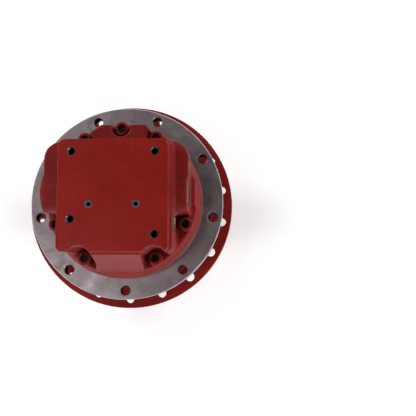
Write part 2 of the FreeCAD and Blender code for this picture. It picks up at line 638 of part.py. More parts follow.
# ---------------------------------------------------------------- spindle
def spindle_housing():
    """Fixed housing: frame flange, pilot, motor bore, bearing seats and planet pin holes."""
    body = turned("spindle_housing", [
        ("brake_bore_r", "pilot_top_z"),
        ("face_o_ring_r - " + O_RING_HALF, "pilot_top_z"),
        ("face_o_ring_r - " + O_RING_HALF, "pilot_top_z - 2 * o_ring_r"),
        ("face_o_ring_r + " + O_RING_HALF, "pilot_top_z - 2 * o_ring_r"),
        ("face_o_ring_r + " + O_RING_HALF, "pilot_top_z"),
        ("pilot_r - pilot_chamfer", "pilot_top_z"),
        ("pilot_r", "pilot_top_z - pilot_chamfer"),
        ("pilot_r", "0"),
        ("flange_r - edge_break", "0"),
        ("flange_r", "-edge_break"),
        ("flange_r", "-flange_thick"),
        ("collar_r", "-flange_thick"),
        ("collar_r", "collar_end_z"),
        ("seal_seat_r", "collar_end_z"),
        ("seal_seat_r", "seal_floor_z"),
        ("shoulder_r", "seal_floor_z"),
        ("shoulder_r", "shoulder_z"),
        ("bearing_seat_r", "shoulder_z"),
        ("bearing_seat_r", FRONT_CONE_END),
        (NUT_SEAT_R, FRONT_CONE_END),
        (NUT_SEAT_R, "spindle_end_z"),
        ("shaft_hole_r", "spindle_end_z"),
        ("shaft_hole_r", SEAL_LOW),
        ("shaft_seal_r", SEAL_LOW),
        ("shaft_seal_r", BEARING_LOW),
        ("bearing_bore_r", BEARING_LOW),
        ("bearing_bore_r", "motor_floor_z"),
        ("motor_bore_r", "motor_floor_z"),
        ("motor_bore_r", "brake_floor_z"),
        ("brake_bore_r", "brake_floor_z"),
    ])
    hole_circle(body, "frame_holes", "0", "frame_hole_circle_r", "frame_hole_r",
                "flange_thick + overrun", "frame_hole_count", "-90")
    hole_circle(body, "frame_hole_mouths", "0", "frame_hole_circle_r",
                "frame_hole_r + frame_hole_mouth", "frame_hole_mouth / 2", "frame_hole_count", "-90")
    hole_circle(body, "planet_pin_holes", "spindle_end_z", STAGE_2_CIRCLE, "pin_2_r",
                "pin_2_sunk", "planet_count", "first_planet_angle", upward=True)
    hole_circle(body, "brake_lug_grooves", "pilot_top_z", "brake_bore_r",
                "plate_lug_r + brake_gap", "pilot_top_z - brake_floor_z", "plate_lug_count")
    sketch = new_sketch(body, "shift_bore_sketch", "XY_Plane", "motor_floor_z")
    circle(sketch, ("0", "shift_piston_y"), "shift_piston_r + piston_gap")
    pocket(body, "shift_bore", sketch, "motor_floor_z - shift_bore_z")
    for number, angle in enumerate(BLOCK_SCREW_ANGLES):
        sketch = new_sketch(body, "block_screw_thread_%d" % number, "XY_Plane", "pilot_top_z")
        circle(sketch, ("block_screw_circle_r * cos(%s)" % angle,
                        "block_screw_circle_r * sin(%s)" % angle), "block_screw_r")
        pocket(body, "block_screw_hole_%d" % number, sketch, "block_screw_sunk")
    return body


# ---------------------------------------------------------------- main bearings
def race_r(side, offset):
    """Race radius beside the rollers: side -1 on the inner ring, +1 on the outer ring.

    offset is measured along the axis from the roller's middle, towards its thick end.
    """
    return ("roller_circle_r + %d * (roller_mean_r + roller_gap) / cos(roller_tilt)"
            " + (%s) * tan(roller_tilt)" % (side, offset))


def main_bearing(name, middle, way):
    """One tapered roller bearing; way is +1 when its thick end points to +Z."""
    def level(offset):
        return "(%s) + %d * (%s)" % (middle, way, offset)

    half = "cone_width / 2"
    turned("bearing_inner_ring_" + name, [
        ("bearing_seat_r", level("-" + half)),
        (race_r(-1, "-" + half), level("-" + half)),
        (race_r(-1, half + " - rib_width"), level(half + " - rib_width")),
        ("rib_r", level(half + " - rib_width")),
        ("rib_r", level(half)),
        ("bearing_seat_r", level(half)),
    ])
    low = "-(cone_width / 2 + cup_set_back)"
    high = "cup_width - cone_width / 2 - cup_set_back"
    turned("bearing_outer_ring_" + name, [
        (race_r(1, low), level(low)),
        ("cup_r", level(low)),
        ("cup_r", level(high)),
        (race_r(1, high), level(high)),
    ])

    def beside(along, out):
        """A point in the roller's own frame, along and out from its axis."""
        return ("roller_circle_r + (%s) * sin(roller_tilt) + (%s) * cos(roller_tilt)" % (along, out),
                level("(%s) * cos(roller_tilt) - (%s) * sin(roller_tilt)" % (along, out)))

    end = "(roller_length / 2)"
    turned_aside("bearing_rollers_" + name, [
        beside("-" + end, "0"),
        beside("-" + end, "roller_mean_r - roller_taper"),
        beside(end, "roller_mean_r + roller_taper"),
        beside(end, "0"),
    ], beside("-" + end, "0"), beside(end, "0"), "roller_count")


def bearing_nut():
    body = turned("bearing_nut", [
        (NUT_SEAT_R, FRONT_CONE_END),
        ("nut_r", FRONT_CONE_END),
        ("nut_r", "spindle_end_z + edge_break"),
        (NUT_SEAT_R, "spindle_end_z + edge_break"),
    ])
    sketch = new_sketch(body, "nut_slot_sketch", "XY_Plane", FRONT_CONE_END)
    outline(sketch, [
        ("nut_r - nut_slot_depth", "-nut_slot_width / 2"),
        ("nut_r + overrun", "-nut_slot_width / 2"),
        ("nut_r + overrun", "nut_slot_width / 2"),
        ("nut_r - nut_slot_depth", "nut_slot_width / 2"),
    ])
    slot = pocket(body, "nut_slot", sketch, "%s - spindle_end_z" % FRONT_CONE_END)
    polar(body, [slot], "nut_slot_count")


# ---------------------------------------------------------------- floating face seal
def face_seal(name, way):
    """One half of the seal; way is +1 on the spindle's side of the sealing face."""
    def level(offset):
        return "seal_face_z + %d * (%s)" % (way, offset)

    turned(name + "_seal_ring", [
        ("seal_ring_in_r", level("seal_face_gap")),
        ("seal_ring_r", level("seal_face_gap")),
        ("seal_ring_r", level("toric_inset - seal_ring_slope")),
        ("seal_ring_face_r", level("toric_inset + seal_ring_slope")),
        ("seal_ring_face_r", level("seal_ring_length")),
        ("seal_ring_in_r", level("seal_ring_length")),
    ])
    turned(name + "_toric_ring", [
        ("seal_ring_face_r", level("toric_inset + toric_corner")),
        ("seal_seat_r - toric_corner", level("toric_inset")),
        ("seal_seat_r", level("toric_inset + toric_corner")),
        ("seal_seat_r", level("toric_inset + toric_length - toric_corner")),
        ("seal_seat_r - toric_corner", level("toric_inset + toric_length")),
        ("seal_ring_face_r", level("toric_inset + toric_length - toric_corner")),
    ])


# ---------------------------------------------------------------- hub
def hub_casing():
    body = turned("hub_casing", [
        ("collar_r + labyrinth_gap", "hub_rear_z"),
        ("hub_rear_r - casing_chamfer", "hub_rear_z"),
        ("hub_rear_r", "hub_rear_z - casing_chamfer"),
        ("hub_rear_r", "sprocket_face_z"),
        ("sprocket_flange_r - edge_break", "sprocket_face_z"),
        ("sprocket_flange_r", "sprocket_face_z - edge_break"),
        ("sprocket_flange_r", SPROCKET_FRONT + " + edge_break"),
        ("sprocket_flange_r - edge_break", SPROCKET_FRONT),
        ("sprocket_pilot_r", SPROCKET_FRONT),
        ("sprocket_pilot_r", SPROCKET_FRONT + " - sprocket_pilot_length"),
        ("drum_r", SPROCKET_FRONT + " - sprocket_pilot_length - (sprocket_pilot_r - drum_r)"),
        ("drum_r", "hub_front_z"),
        ("ring_r", "hub_front_z"),
        ("ring_r", "spindle_end_z"),
        ("cup_r", "spindle_end_z"),
        ("cup_r", CUP_LAND_FRONT),
        (CUP_LAND_R, CUP_LAND_FRONT),
        (CUP_LAND_R, CUP_LAND_REAR),
        ("cup_r", CUP_LAND_REAR),
        ("cup_r", "hub_seal_floor_z"),
        ("seal_seat_r", "hub_seal_floor_z"),
        ("seal_seat_r", "collar_end_z - labyrinth_gap"),
        ("collar_r + labyrinth_gap", "collar_end_z - labyrinth_gap"),
    ])
    hole_circle(body, "sprocket_holes", "sprocket_face_z", "sprocket_hole_circle_r",
                "sprocket_hole_r", "sprocket_flange_thick + overrun", "sprocket_hole_count",
                "sprocket_hole_start")
    hole_circle(body, "cover_screw_threads", "hub_front_z", "cover_screw_circle_r",
                "cover_screw_r", "cover_screw_sunk", "cover_screw_count", upward=True)
    return body


def ring_gear():
    """Ring gear pressed in the hub casing; its tooth spaces are the teeth of the cutter."""
    top, bottom = size("spindle_end_z"), size("ring_front_z")
    space = tooth_face(int(size("ring_teeth")), DEDENDUM, ADDENDUM, size("backlash") / 2,
                       size("first_planet_angle"))
    blank = drum(size("ring_r"), top, bottom)
    return plain("ring_gear", blank.cut(punch(space, top, bottom)))


def hub_cover():
    rim_front = "hub_front_z - cover_rim_thick"
    body = turned("hub_cover", [
        ("0", "cover_inside_z"),
        ("cover_spigot_in_r", "cover_inside_z"),
        ("cover_spigot_in_r", "cover_spigot_z"),
        ("ring_r", "cover_spigot_z"),
        ("ring_r", COVER_O_RING_Z + " + " + O_RING_HALF),
        ("ring_r - 2 * o_ring_r", COVER_O_RING_Z + " + " + O_RING_HALF),
        ("ring_r - 2 * o_ring_r", COVER_O_RING_Z + " - " + O_RING_HALF),
        ("ring_r", COVER_O_RING_Z + " - " + O_RING_HALF),
        ("ring_r", "hub_front_z"),
        ("drum_r", "hub_front_z"),
        ("drum_r", rim_front + " + casing_chamfer"),
        ("drum_r - casing_chamfer", rim_front),
        ("cover_rim_r", rim_front),
        ("cover_dome_r", "cover_front_z + dome_chamfer"),
        ("cover_dome_r - dome_chamfer", "cover_front_z"),
        ("0", "cover_front_z"),
    ])
    hole_circle(body, "cover_screw_holes", rim_front, "cover_screw_circle_r",
                "cover_screw_r + screw_hole_gap", "cover_rim_thick", "cover_screw_count",
                upward=True)
    hole_circle(body, "oil_plug_holes", "cover_front_z", "plug_circle_r", "plug_r",
                "plug_depth + plug_recess", "plug_count", "first_planet_angle", upward=True)
    return body


def cover_screws():
    head_low = "hub_front_z - cover_rim_thick - 2 * cover_screw_r"
    body = new_body("cover_screws")
    sketch = new_sketch(body, "cover_screw_profile", "XZ_Plane")
    centre = "cover_screw_circle_r"
    outline(sketch, [
        (centre, "hub_front_z + cover_screw_sunk"),
        (centre + " + cover_screw_r", "hub_front_z + cover_screw_sunk"),
        (centre + " + cover_screw_r", "hub_front_z - cover_rim_thick"),
        (centre + " + cover_screw_r * head_ratio", "hub_front_z - cover_rim_thick"),
        (centre + " + cover_screw_r * head_ratio", head_low),
        (centre, head_low),
    ])
    axis_line(sketch, (centre, head_low), (centre, "hub_front_z"))
    turn = revolve(body, "cover_screw_turn", sketch, "Axis0")
    socket = new_sketch(body, "cover_screw_socket_sketch", "XY_Plane", head_low)
    hexagon(socket, (centre, "0"), "cover_socket_half")
    cut = pocket(body, "cover_screw_socket", socket, "cover_screw_r", reversed_way=True)
    polar(body, [turn, cut], "cover_screw_count")


def oil_plugs():
    """Flush plugs with hexagon sockets in the cover's face."""
    face = "cover_front_z + plug_recess"
    body = new_body("oil_plugs")
    sketch = new_sketch(body, "oil_plug_sketch", "XY_Plane", face)
    circle(sketch, ("plug_circle_r", "0"), "plug_r")
    boss = pad(body, "oil_plug", sketch, "plug_depth")
    socket = new_sketch(body, "oil_plug_socket_sketch", "XY_Plane", face)
    hexagon(socket, ("plug_circle_r", "0"), "plug_socket_half")
    cut = pocket(body, "oil_plug_socket", socket, "plug_depth / 2", reversed_way=True)
    polar(body, [boss, cut], "plug_count")
    body.setExpression(".Placement.Rotation.Angle", bound("first_planet_angle"))


def thrust_pad():
    turned("thrust_pad", [
        ("0", "shaft_end_z - thrust_gap"),
        ("thrust_pad_r - edge_break", "shaft_end_z - thrust_gap"),
        ("thrust_pad_r", "shaft_end_z - thrust_gap - edge_break"),
        ("thrust_pad_r", "cover_inside_z"),
        ("0", "cover_inside_z"),
    ])


# ---------------------------------------------------------------- planetary stages
def planet_angle(number):
    return size("first_planet_angle") + 360 * number / size("planet_count")


def stage(name, teeth_alias, circle_r, rear_z, width, pin_r):
    """The planets of one stage, each a node of its own."""
    for number, letter in zip(range(int(size("planet_count"))), "abc"):
        angle = planet_angle(number)
        gear("planet_%s%s" % (name, letter), int(size(teeth_alias)), angle, rear_z, rear_z - width,
             pin_r + size("needle_thick") + size("needle_gap"), on_circle(circle_r, angle))


def pins_and_clips(stage_name, circle_r, pin_r, pin_top, planet_rear, width):
    """Planet pins with their needle bearings and retaining rings."""
    planet_front = "(%s) - %s" % (planet_rear, width)
    pin_low = "%s - pin_end" % planet_front
    clip_top = "%s - clip_gap" % planet_front
    clip_low = "%s - clip_gap - clip_thick" % planet_front
    groove_r = "%s - clip_groove" % pin_r
    axis = ((circle_r, pin_low), (circle_r, planet_rear))
    turned_aside("planet_%s_pins" % stage_name, [
        (circle_r, pin_top),
        ("%s + %s" % (circle_r, pin_r), pin_top),
        ("%s + %s" % (circle_r, pin_r), clip_top),
        ("%s + %s" % (circle_r, groove_r), clip_top),
        ("%s + %s" % (circle_r, groove_r), clip_low),
        ("%s + %s" % (circle_r, pin_r), clip_low),
        ("%s + %s" % (circle_r, pin_r), pin_low),
        (circle_r, pin_low),
    ], *axis, "planet_count", "first_planet_angle")
    turned_aside("planet_%s_needles" % stage_name, [
        ("%s + %s" % (circle_r, pin_r), "(%s) - needle_inset" % planet_rear),
        ("%s + %s + needle_thick" % (circle_r, pin_r), "(%s) - needle_inset" % planet_rear),
        ("%s + %s + needle_thick" % (circle_r, pin_r), "%s + needle_inset" % planet_front),
        ("%s + %s" % (circle_r, pin_r), "%s + needle_inset" % planet_front),
    ], *axis, "planet_count", "first_planet_angle")
    turned_aside("planet_%s_clips" % stage_name, [
        ("%s + %s" % (circle_r, groove_r), clip_top),
        ("%s + %s + clip_height" % (circle_r, groove_r), clip_top),
        ("%s + %s + clip_height" % (circle_r, groove_r), clip_low),
        ("%s + %s" % (circle_r, groove_r), clip_low),
    ], *axis, "planet_count", "first_planet_angle")


def carrier_1():
    """Three-lobed first stage carrier, splined on the second stage's sun."""
    top = size("carrier_rear_z")
    bottom = top - size("carrier_thick")
    circle_r = worth(STAGE_1_CIRCLE)
    plate = drum(size("carrier_hub_r"), top, bottom)
    arm = size("carrier_lobe_r")
    for number in range(int(size("planet_count"))):
        angle = planet_angle(number)
        centre = on_circle(circle_r, angle)
        web = Part.makeBox(circle_r, 2 * arm, top - bottom, Vector(0, -arm, bottom))
        plate = plate.fuse(spun(web, angle)).fuse(drum(arm, top, bottom, centre))
        plate = plate.cut(drill(size("pin_1_r"), top, bottom, centre))
    teeth = int(size("sun_2_teeth"))
    spline = tooth_face(teeth, SPLINE_ADDENDUM, SPLINE_DEDENDUM,
                        size("spline_gap") - size("backlash") / 2,
                        size("first_planet_angle") + 180 / teeth)
    return plain("carrier_1", plate.removeSplitter().cut(punch(spline, top, bottom)))


# ---------------------------------------------------------------- motor
def drive_shaft():
    spline_low = "shoe_face_z + shaft_step_rise"
    turned("drive_shaft", [
        ("0", "shaft_top_z"),
        ("shaft_r - edge_break", "shaft_top_z"),
        ("shaft_r", "shaft_top_z - edge_break"),
        ("shaft_r", "block_top_z"),
        ("shaft_spline_r", "block_top_z"),
        ("shaft_spline_r", spline_low),
        ("shaft_r", spline_low),
        ("shaft_r", SEAL_LOW),
        ("shaft_neck_r", SEAL_LOW),
        ("shaft_neck_r", "stage_1_rear_z"),
        ("shaft_nose_r", "stage_1_rear_z"),
        ("shaft_nose_r", "shaft_end_z"),
        ("0", "shaft_end_z"),
    ])


def cylinder_block():
    """Cylinder block with its bores and the outer spline that carries the friction discs."""
    top, bottom = size("block_top_z"), size("block_low_z")
    block = drum(size("block_r"), top, bottom)
    block = block.fuse(slab(block_spline(0.0), worth(PLATES_TOP), size("brake_floor_z")))
    block = block.cut(drill(size("shaft_spline_r"), top, bottom))
    count = int(size("piston_count"))
    for number in range(count):
        centre = on_circle(size("piston_circle_r"), 360 * number / count)
        block = block.cut(drum(size("piston_r") + size("piston_gap"), top - size("bore_wall"),
                               bottom - size("overrun"), centre))
        block = block.cut(drill(size("kidney_width") / 2, top, top - size("bore_wall"), centre))
    return plain("cylinder_block", block.removeSplitter())


# half widths of a block spline tooth at its foot and tip, as shares of the tooth spacing
SPLINE_FOOT = 0.28
SPLINE_TIP = 0.2


def block_spline(grow):
    """Outline of the block's straight-sided outer spline, grown by a clearance."""
    teeth = int(size("block_spline_teeth"))
    step = math.tau / teeth
    points = []
    for tooth in range(teeth):
        for radius, share, way in (("block_r", SPLINE_FOOT, -1), ("block_spline_r", SPLINE_TIP, -1),
                                   ("block_spline_r", SPLINE_TIP, 1), ("block_r", SPLINE_FOOT, 1)):
            reach = size(radius) + grow
            turn = step * (tooth + way * share) + way * grow / reach
            points.append(Vector(reach * math.cos(turn), reach * math.sin(turn), 0))
    return Part.Face(Part.makePolygon(points + points[:1]))


def plate_level(number):
    """Lower face of a brake plate, counted from the floor of the brake bore."""
    return size("brake_floor_z") + number * (size("plate_thick") + size("plate_gap"))


def friction_discs():
    discs = []
    for number in range(int(size("friction_disc_count"))):
        low = plate_level(2 * number + 1)
        top = low + size("plate_thick")
        ring = drum(size("brake_bore_r") - size("disc_rim_gap"), top, low)
        discs.append(ring.cut(punch(block_spline(size("spline_gap")), top, low)))
    return plain("friction_discs", Part.makeCompound(discs))


def brake_plates():
    """Steel plates whose round lugs sit in grooves of the brake bore."""
    plates = []
    lugs = int(size("plate_lug_count"))
    for number in range(int(size("friction_disc_count")) + 1):
        low = plate_level(2 * number)
        top = low + size("plate_thick")
        ring = drum(size("brake_bore_r") - size("brake_gap"), top, low)
        for lug in range(lugs):
            place = on_circle(size("brake_bore_r"), 360 * lug / lugs)
            ring = ring.fuse(drum(size("plate_lug_r"), top, low, place))
        plates.append(ring.cut(drill(size("plate_in_r"), top, low)).removeSplitter())
    return plain("brake_plates", Part.makeCompound(plates))


def valve_plate():
    """Valve plate with two kidney slots."""
    top = size("pilot_top_z")
    bottom = top - size("valve_plate_thick")
    plate = drum(size("valve_plate_r"), top, bottom)
    plate = plate.cut(drill(size("shaft_r") + size("shaft_pass_gap"), top, bottom))
    middle, half = size("piston_circle_r"), size("kidney_width") / 2
    span = size("kidney_half_angle")
    for side in (0, 180):
        ring = drum(middle + half, top, bottom).cut(drill(middle - half, top, bottom))
        wedge = [Vector(0, 0, 0)]
        for step in range(-2, 3):
            wedge.append(on_circle(2 * middle, side + step * span / 2))
        sector = punch(Part.Face(Part.makePolygon(wedge + wedge[:1])), top, bottom)
        plate = plate.cut(ring.common(sector))
    return plain("valve_plate", plate)


def pistons_and_shoes():
    circle_r = "piston_circle_r"
    shoe_low = "shoe_face_z + shoe_gap"
    shoe_top = "shoe_face_z + shoe_gap + shoe_height"
    axis = ((circle_r, "shoe_face_z"), (circle_r, "piston_top_z"))
    turned_aside("pistons", [
        (circle_r, "piston_top_z"),
        (circle_r + " + piston_r", "piston_top_z"),
        (circle_r + " + piston_r", "block_low_z - piston_stand_out"),
        (circle_r + " + piston_neck_r", shoe_top),
        (circle_r + " + piston_neck_r", shoe_low + " + shoe_floor"),
        (circle_r, shoe_low + " + shoe_floor"),
    ], *axis, "piston_count")
    turned_aside("piston_shoes", [
        (circle_r, shoe_low),
        (circle_r + " + shoe_r", shoe_low),
        (circle_r + " + shoe_r", shoe_low + " + shoe_thick"),
        (circle_r + " + shoe_neck_r", shoe_low + " + shoe_thick"),
        (circle_r + " + shoe_neck_r", shoe_top),
        (circle_r + " + piston_neck_r", shoe_top),
        (circle_r + " + piston_neck_r", shoe_low + " + shoe_floor"),
        (circle_r, shoe_low + " + shoe_floor"),
    ], *axis, "piston_count")


def shoe_retainer():
    rest = "shoe_face_z + shoe_gap + shoe_thick"
    body = turned("shoe_retainer", [
        ("shaft_spline_r + retainer_bore_gap", rest),
        ("retainer_r", rest),
        ("retainer_r", rest + " + retainer_thick"),
        ("shaft_spline_r + retainer_bore_gap", rest + " + retainer_thick"),
    ])
    hole_circle(body, "shoe_windows", rest + " + retainer_thick", "piston_circle_r",
                "shoe_neck_r + piston_gap", "retainer_thick", "piston_count")


def ball_guide():
    rest = "shoe_face_z + shoe_gap + shoe_thick + retainer_thick"
    turned("ball_guide", [
        ("shaft_spline_r", rest),
        ("guide_r", rest),
        ("guide_r + guide_bulge", rest + " + guide_bulge_height"),
        ("guide_r - guide_bulge", rest + " + guide_height"),
        ("shaft_spline_r", rest + " + guide_height"),
    ])


def swash_plate():
    """Swash plate with two half-round cradles on its back."""
    face = size("shoe_face_z")
    back = face - size("swash_thick")
    plate = drum(size("swash_r"), face, back)
    round_r, axis_z = size("cradle_r"), size("cradle_axis_z")
    for side in (-1, 1):
        start = side * size("cradle_in_x") - (side < 0) * size("cradle_width")
        roll = Part.makeCylinder(round_r, size("cradle_width"), Vector(start, 0, axis_z), Vector(1, 0, 0))
        keep = Part.makeBox(size("cradle_width"), 2 * round_r, face - axis_z + round_r,
                            Vector(start, -round_r, axis_z - round_r))
        plate = plate.fuse(roll.common(keep))
    plate = plate.cut(drum(2 * size("swash_r"), face + 2 * round_r, face))
    plate = plate.cut(drill(size("swash_bore_r"), face, size("motor_floor_z")))
    return plain("swash_plate", plate.removeSplitter())


def swash_seats():
    """Half-round bearing seats under the cradles, on the floor of the motor bore."""
    floor_z, axis_z = size("motor_floor_z"), size("cradle_axis_z")
    back = size("shoe_face_z") - size("swash_thick")
    seats = []
    for side in (-1, 1):
        start = side * size("cradle_in_x") - (side < 0) * size("cradle_width")
        block = Part.makeBox(size("cradle_width"), 2 * size("shell_half_y"),
                             back - floor_z - size("shell_gap"),
                             Vector(start, -size("shell_half_y"), floor_z))
        roll = Part.makeCylinder(size("cradle_r") + size("shoe_gap"), size("cradle_width"),
                                 Vector(start, 0, axis_z), Vector(1, 0, 0))
        seats.append(block.cut(roll))
    return plain("swash_seats", Part.makeCompound(seats))


def shift_piston():
    """Piston that tilts the swash plate for the second speed."""
    body = new_body("swash_shift_piston")
    sketch = new_sketch(body, "shift_piston_sketch", "XY_Plane", "shift_bore_z + shift_oil_room")
    circle(sketch, ("0", "shift_piston_y"), "shift_piston_r")
    pad(body, "shift_piston", sketch, 
        "shoe_face_z - swash_thick - shift_bore_z - shift_oil_room - shoe_gap")


def shaft_parts():
    turned("front_shaft_bearing", [
        ("shaft_r + needle_gap", "motor_floor_z"),
        ("bearing_bore_r", "motor_floor_z"),
        ("bearing_bore_r", BEARING_LOW),
        ("shaft_r + needle_gap", BEARING_LOW),
    ])
    turned("shaft_seal", [
        ("shaft_r + needle_gap", BEARING_LOW + " - shaft_seal_width / 2"),
        ("shaft_r + seal_lip_thick", BEARING_LOW),
        ("shaft_seal_r", BEARING_LOW),
        ("shaft_seal_r", SEAL_LOW),
        ("shaft_r + seal_lip_thick", SEAL_LOW),
    ])
    turned("rear_shaft_bearing", [
        ("shaft_r + needle_gap", "pilot_top_z"),
        ("rear_bearing_r", "pilot_top_z"),
        ("rear_bearing_r", "pilot_top_z + rear_bearing_width"),
        ("shaft_r + needle_gap", "pilot_top_z + rear_bearing_width"),
    ])


def brake_piston():
    turned("brake_piston", [
        ("block_spline_r + brake_piston_in_gap", PLATES_TOP),
        ("brake_bore_r - brake_gap", PLATES_TOP),
        ("brake_bore_r - brake_gap", "brake_piston_top_z"),
        ("block_spline_r + brake_piston_in_gap", "brake_piston_top_z"),
    ])
    inner, outer = "block_spline_r + disc_spring_in_gap", "brake_bore_r - disc_spring_out_gap"
    middle = "(brake_piston_top_z + disc_spring_rise + disc_spring_thick)"
    body = new_body("brake_disc_springs")
    for name, way in (("lower", -1), ("upper", 1)):
        sketch = new_sketch(body, name + "_disc_spring_profile", "XZ_Plane")
        flat = middle + " + %d * disc_spring_thick" % way
        outline(sketch, [
            (outer, middle),
            (outer, flat),
            (inner, flat + " + %d * disc_spring_rise" % way),
            (inner, middle + " + %d * disc_spring_rise" % way),
        ])
        revolve(body, name + "_disc_spring", sketch)


# ---------------------------------------------------------------- valve block
def cross_sketch(body, name, x):
    """A sketch on the YZ plane at a distance x: first coordinate Y, second Z."""
    return new_sketch(body, name, "YZ_Plane", x)


def valve_block():
    """Cast block: round base flange, machined top pad, port bosses, lugs and screw pockets."""
    body = new_body("valve_block")
    corner = "body_corner_r"
    sketch = new_sketch(body, "body_sketch", "XY_Plane", "base_top_z")
    rounded_box(sketch, "-pad_half_x", "body_right_x", "pad_low_y", "pad_high_y", [corner] * 4)
    pad(body, "block_body", sketch, "pad_z - pad_height - base_top_z")
    side_lugs(body)
    base_flange(body)
    sketch = new_sketch(body, "pad_sketch", "XY_Plane", "pad_z - pad_height")
    rounded_box(sketch, "-pad_half_x", "pad_half_x", "pad_low_y", "pad_high_y",
                [corner, corner, "pad_corner_r", corner])
    pad(body, "top_pad", sketch, "pad_height")
    skirt(body)

    sketch = new_sketch(body, "step_sketch", "XY_Plane", "base_top_z")
    outline(sketch, [
        ("-step_half_x", "pad_high_y - overrun"),
        ("step_half_x", "pad_high_y - overrun"),
        ("step_half_x", "step_foot_y"),
        ("step_right", "step_y"),
        ("step_left", "step_y"),
        ("-step_half_x", "step_foot_y"),
    ])
    pad(body, "upper_step", sketch, "step_z - base_top_z")
    screw_pockets(body)
    ports(body)
    passages(body)
    return body


def skirt(body):
    """Sloping skirt under the pad's lower edge, wider at its foot."""
    sketch = new_sketch(body, "skirt_sketch", "XZ_Plane", "-pad_low_y - body_corner_r")
    outline(sketch, [
        ("skirt_foot_left", "base_top_z"),
        ("skirt_foot_right", "base_top_z"),
        ("skirt_top_right", "pad_z - pad_height / 2"),
        ("skirt_top_left", "pad_z - pad_height / 2"),
    ])
    pad(body, "skirt", sketch, "pad_low_y + body_corner_r - skirt_low_y")
    sketch = cross_sketch(body, "skirt_slope_sketch", "0")
    outline(sketch, [
        ("skirt_slope_y", "pad_z"),
        ("skirt_slope_y", "pad_z - pad_height / 2"),
        ("skirt_low_y", "base_top_z + skirt_foot_height"),
        ("skirt_low_y - overrun", "base_top_z + skirt_foot_height"),
        ("skirt_low_y - overrun", "pad_z"),
    ])
    pocket(body, "skirt_slope", sketch)


def side_lugs(body):
    """A lug on each side, with the round port boss along X, and a low ledge on the right."""
    for name, sign in (("left", -1), ("right", 1)):
        root = "%d * (pad_half_x - body_corner_r)" % sign
        edge = "%d * lug_x" % sign
        for part, low_y, low_z, high_z in (
                ("lug", "boss_y - boss_r", "base_top_z", "boss_z"),
                ("upper_lug", "boss_y", "boss_z", "lug_z")):
            sketch = new_sketch(body, "%s_%s_sketch" % (name, part), "XY_Plane", low_z)
            outline(sketch, [(root, low_y), (edge, low_y), (edge, "lug_y"), (root, "lug_y")])
            pad(body, "%s_%s" % (name, part), sketch, "%s - %s" % (high_z, low_z))
    doc.recompute()
    round_corners(body, "lug_corners", "lug_corner_r",
                  [(side * size("lug_x"), size("lug_y")) for side in (-1, 1)])
    for name, reach, back in (("left", "left_boss_x", True), ("right", "right_boss_x", False)):
        sketch = cross_sketch(body, name + "_boss_sketch", "0")
        circle(sketch, ("boss_y", "boss_z"), "boss_r")
        pad(body, name + "_boss", sketch, reach, reversed_way=back)
    sketch = new_sketch(body, "ledge_sketch", "XY_Plane", "base_top_z")
    outline(sketch, [
        ("pad_half_x", "ledge_low_y"),
        ("ledge_x", "ledge_low_y"),
        ("ledge_x", "ledge_high_y - ledge_slope"),
        ("ledge_x - ledge_slope / 2", "ledge_high_y"),
        ("pad_half_x", "ledge_high_y"),
    ])
    pad(body, "ledge", sketch, "ledge_z - base_top_z")


def base_flange(body):
    """Round base flange with a sloping rim."""
    sketch = new_sketch(body, "base_profile", "XZ_Plane")
    outline(sketch, [
        ("0", "pilot_top_z"),
        ("base_r", "pilot_top_z"),
        ("base_r", "base_rim_z"),
        ("base_rim_r", "base_rim_z + base_rim_height"),
        ("base_rim_r", "base_top_z - edge_break"),
        ("base_rim_r - edge_break", "base_top_z"),
        ("0", "base_top_z"),
    ])
    revolve(body, "base_flange", sketch)


def round_corners(body, name, radius, corners):
    """Round the upright edges that stand at the given corners."""
    base = body.Tip
    edges = []
    for number, edge in enumerate(base.Shape.Edges, start=1):
        box = edge.BoundBox
        if box.XLength < NEAR and box.YLength < NEAR and box.ZLength > NEAR:
            for x, y in corners:
                if abs(box.Center.x - x) < NEAR and abs(box.Center.y - y) < NEAR:
                    edges.append("Edge%d" % number)
    fillet = body.newObject("PartDesign::Fillet", name)
    fillet.Base = (base, edges)
    fillet.setExpression("Radius", bound(radius))
    doc.recompute()


def screw_pockets(body):
    """Pockets and clearance holes of the screws that hold the block on the spindle."""
    for number, angle in enumerate(BLOCK_SCREW_ANGLES):
        x, y = "block_screw_circle_r * cos(%s)" % angle, "block_screw_circle_r * sin(%s)" % angle
        wide = angle in WIDE_POCKET_ANGLES
        sketch = new_sketch(body, "screw_pocket_sketch_%d" % number, "XY_Plane", "base_top_z")
        circle(sketch, (x + (" + wide_pocket_shift" if wide else ""),
                        y + (" - wide_pocket_drop" if wide else "")),
               "wide_pocket_r" if wide else "screw_pocket_r")
        pocket(body, "screw_pocket_%d" % number, sketch, "pad_z - base_top_z + overrun", reversed_way=True)
        sketch = new_sketch(body, "screw_hole_sketch_%d" % number, "XY_Plane", "base_top_z")
        circle(sketch, (x, y), "block_screw_r + screw_hole_gap")
        pocket(body, "screw_hole_%d" % number, sketch, "base_top_z - pilot_top_z")


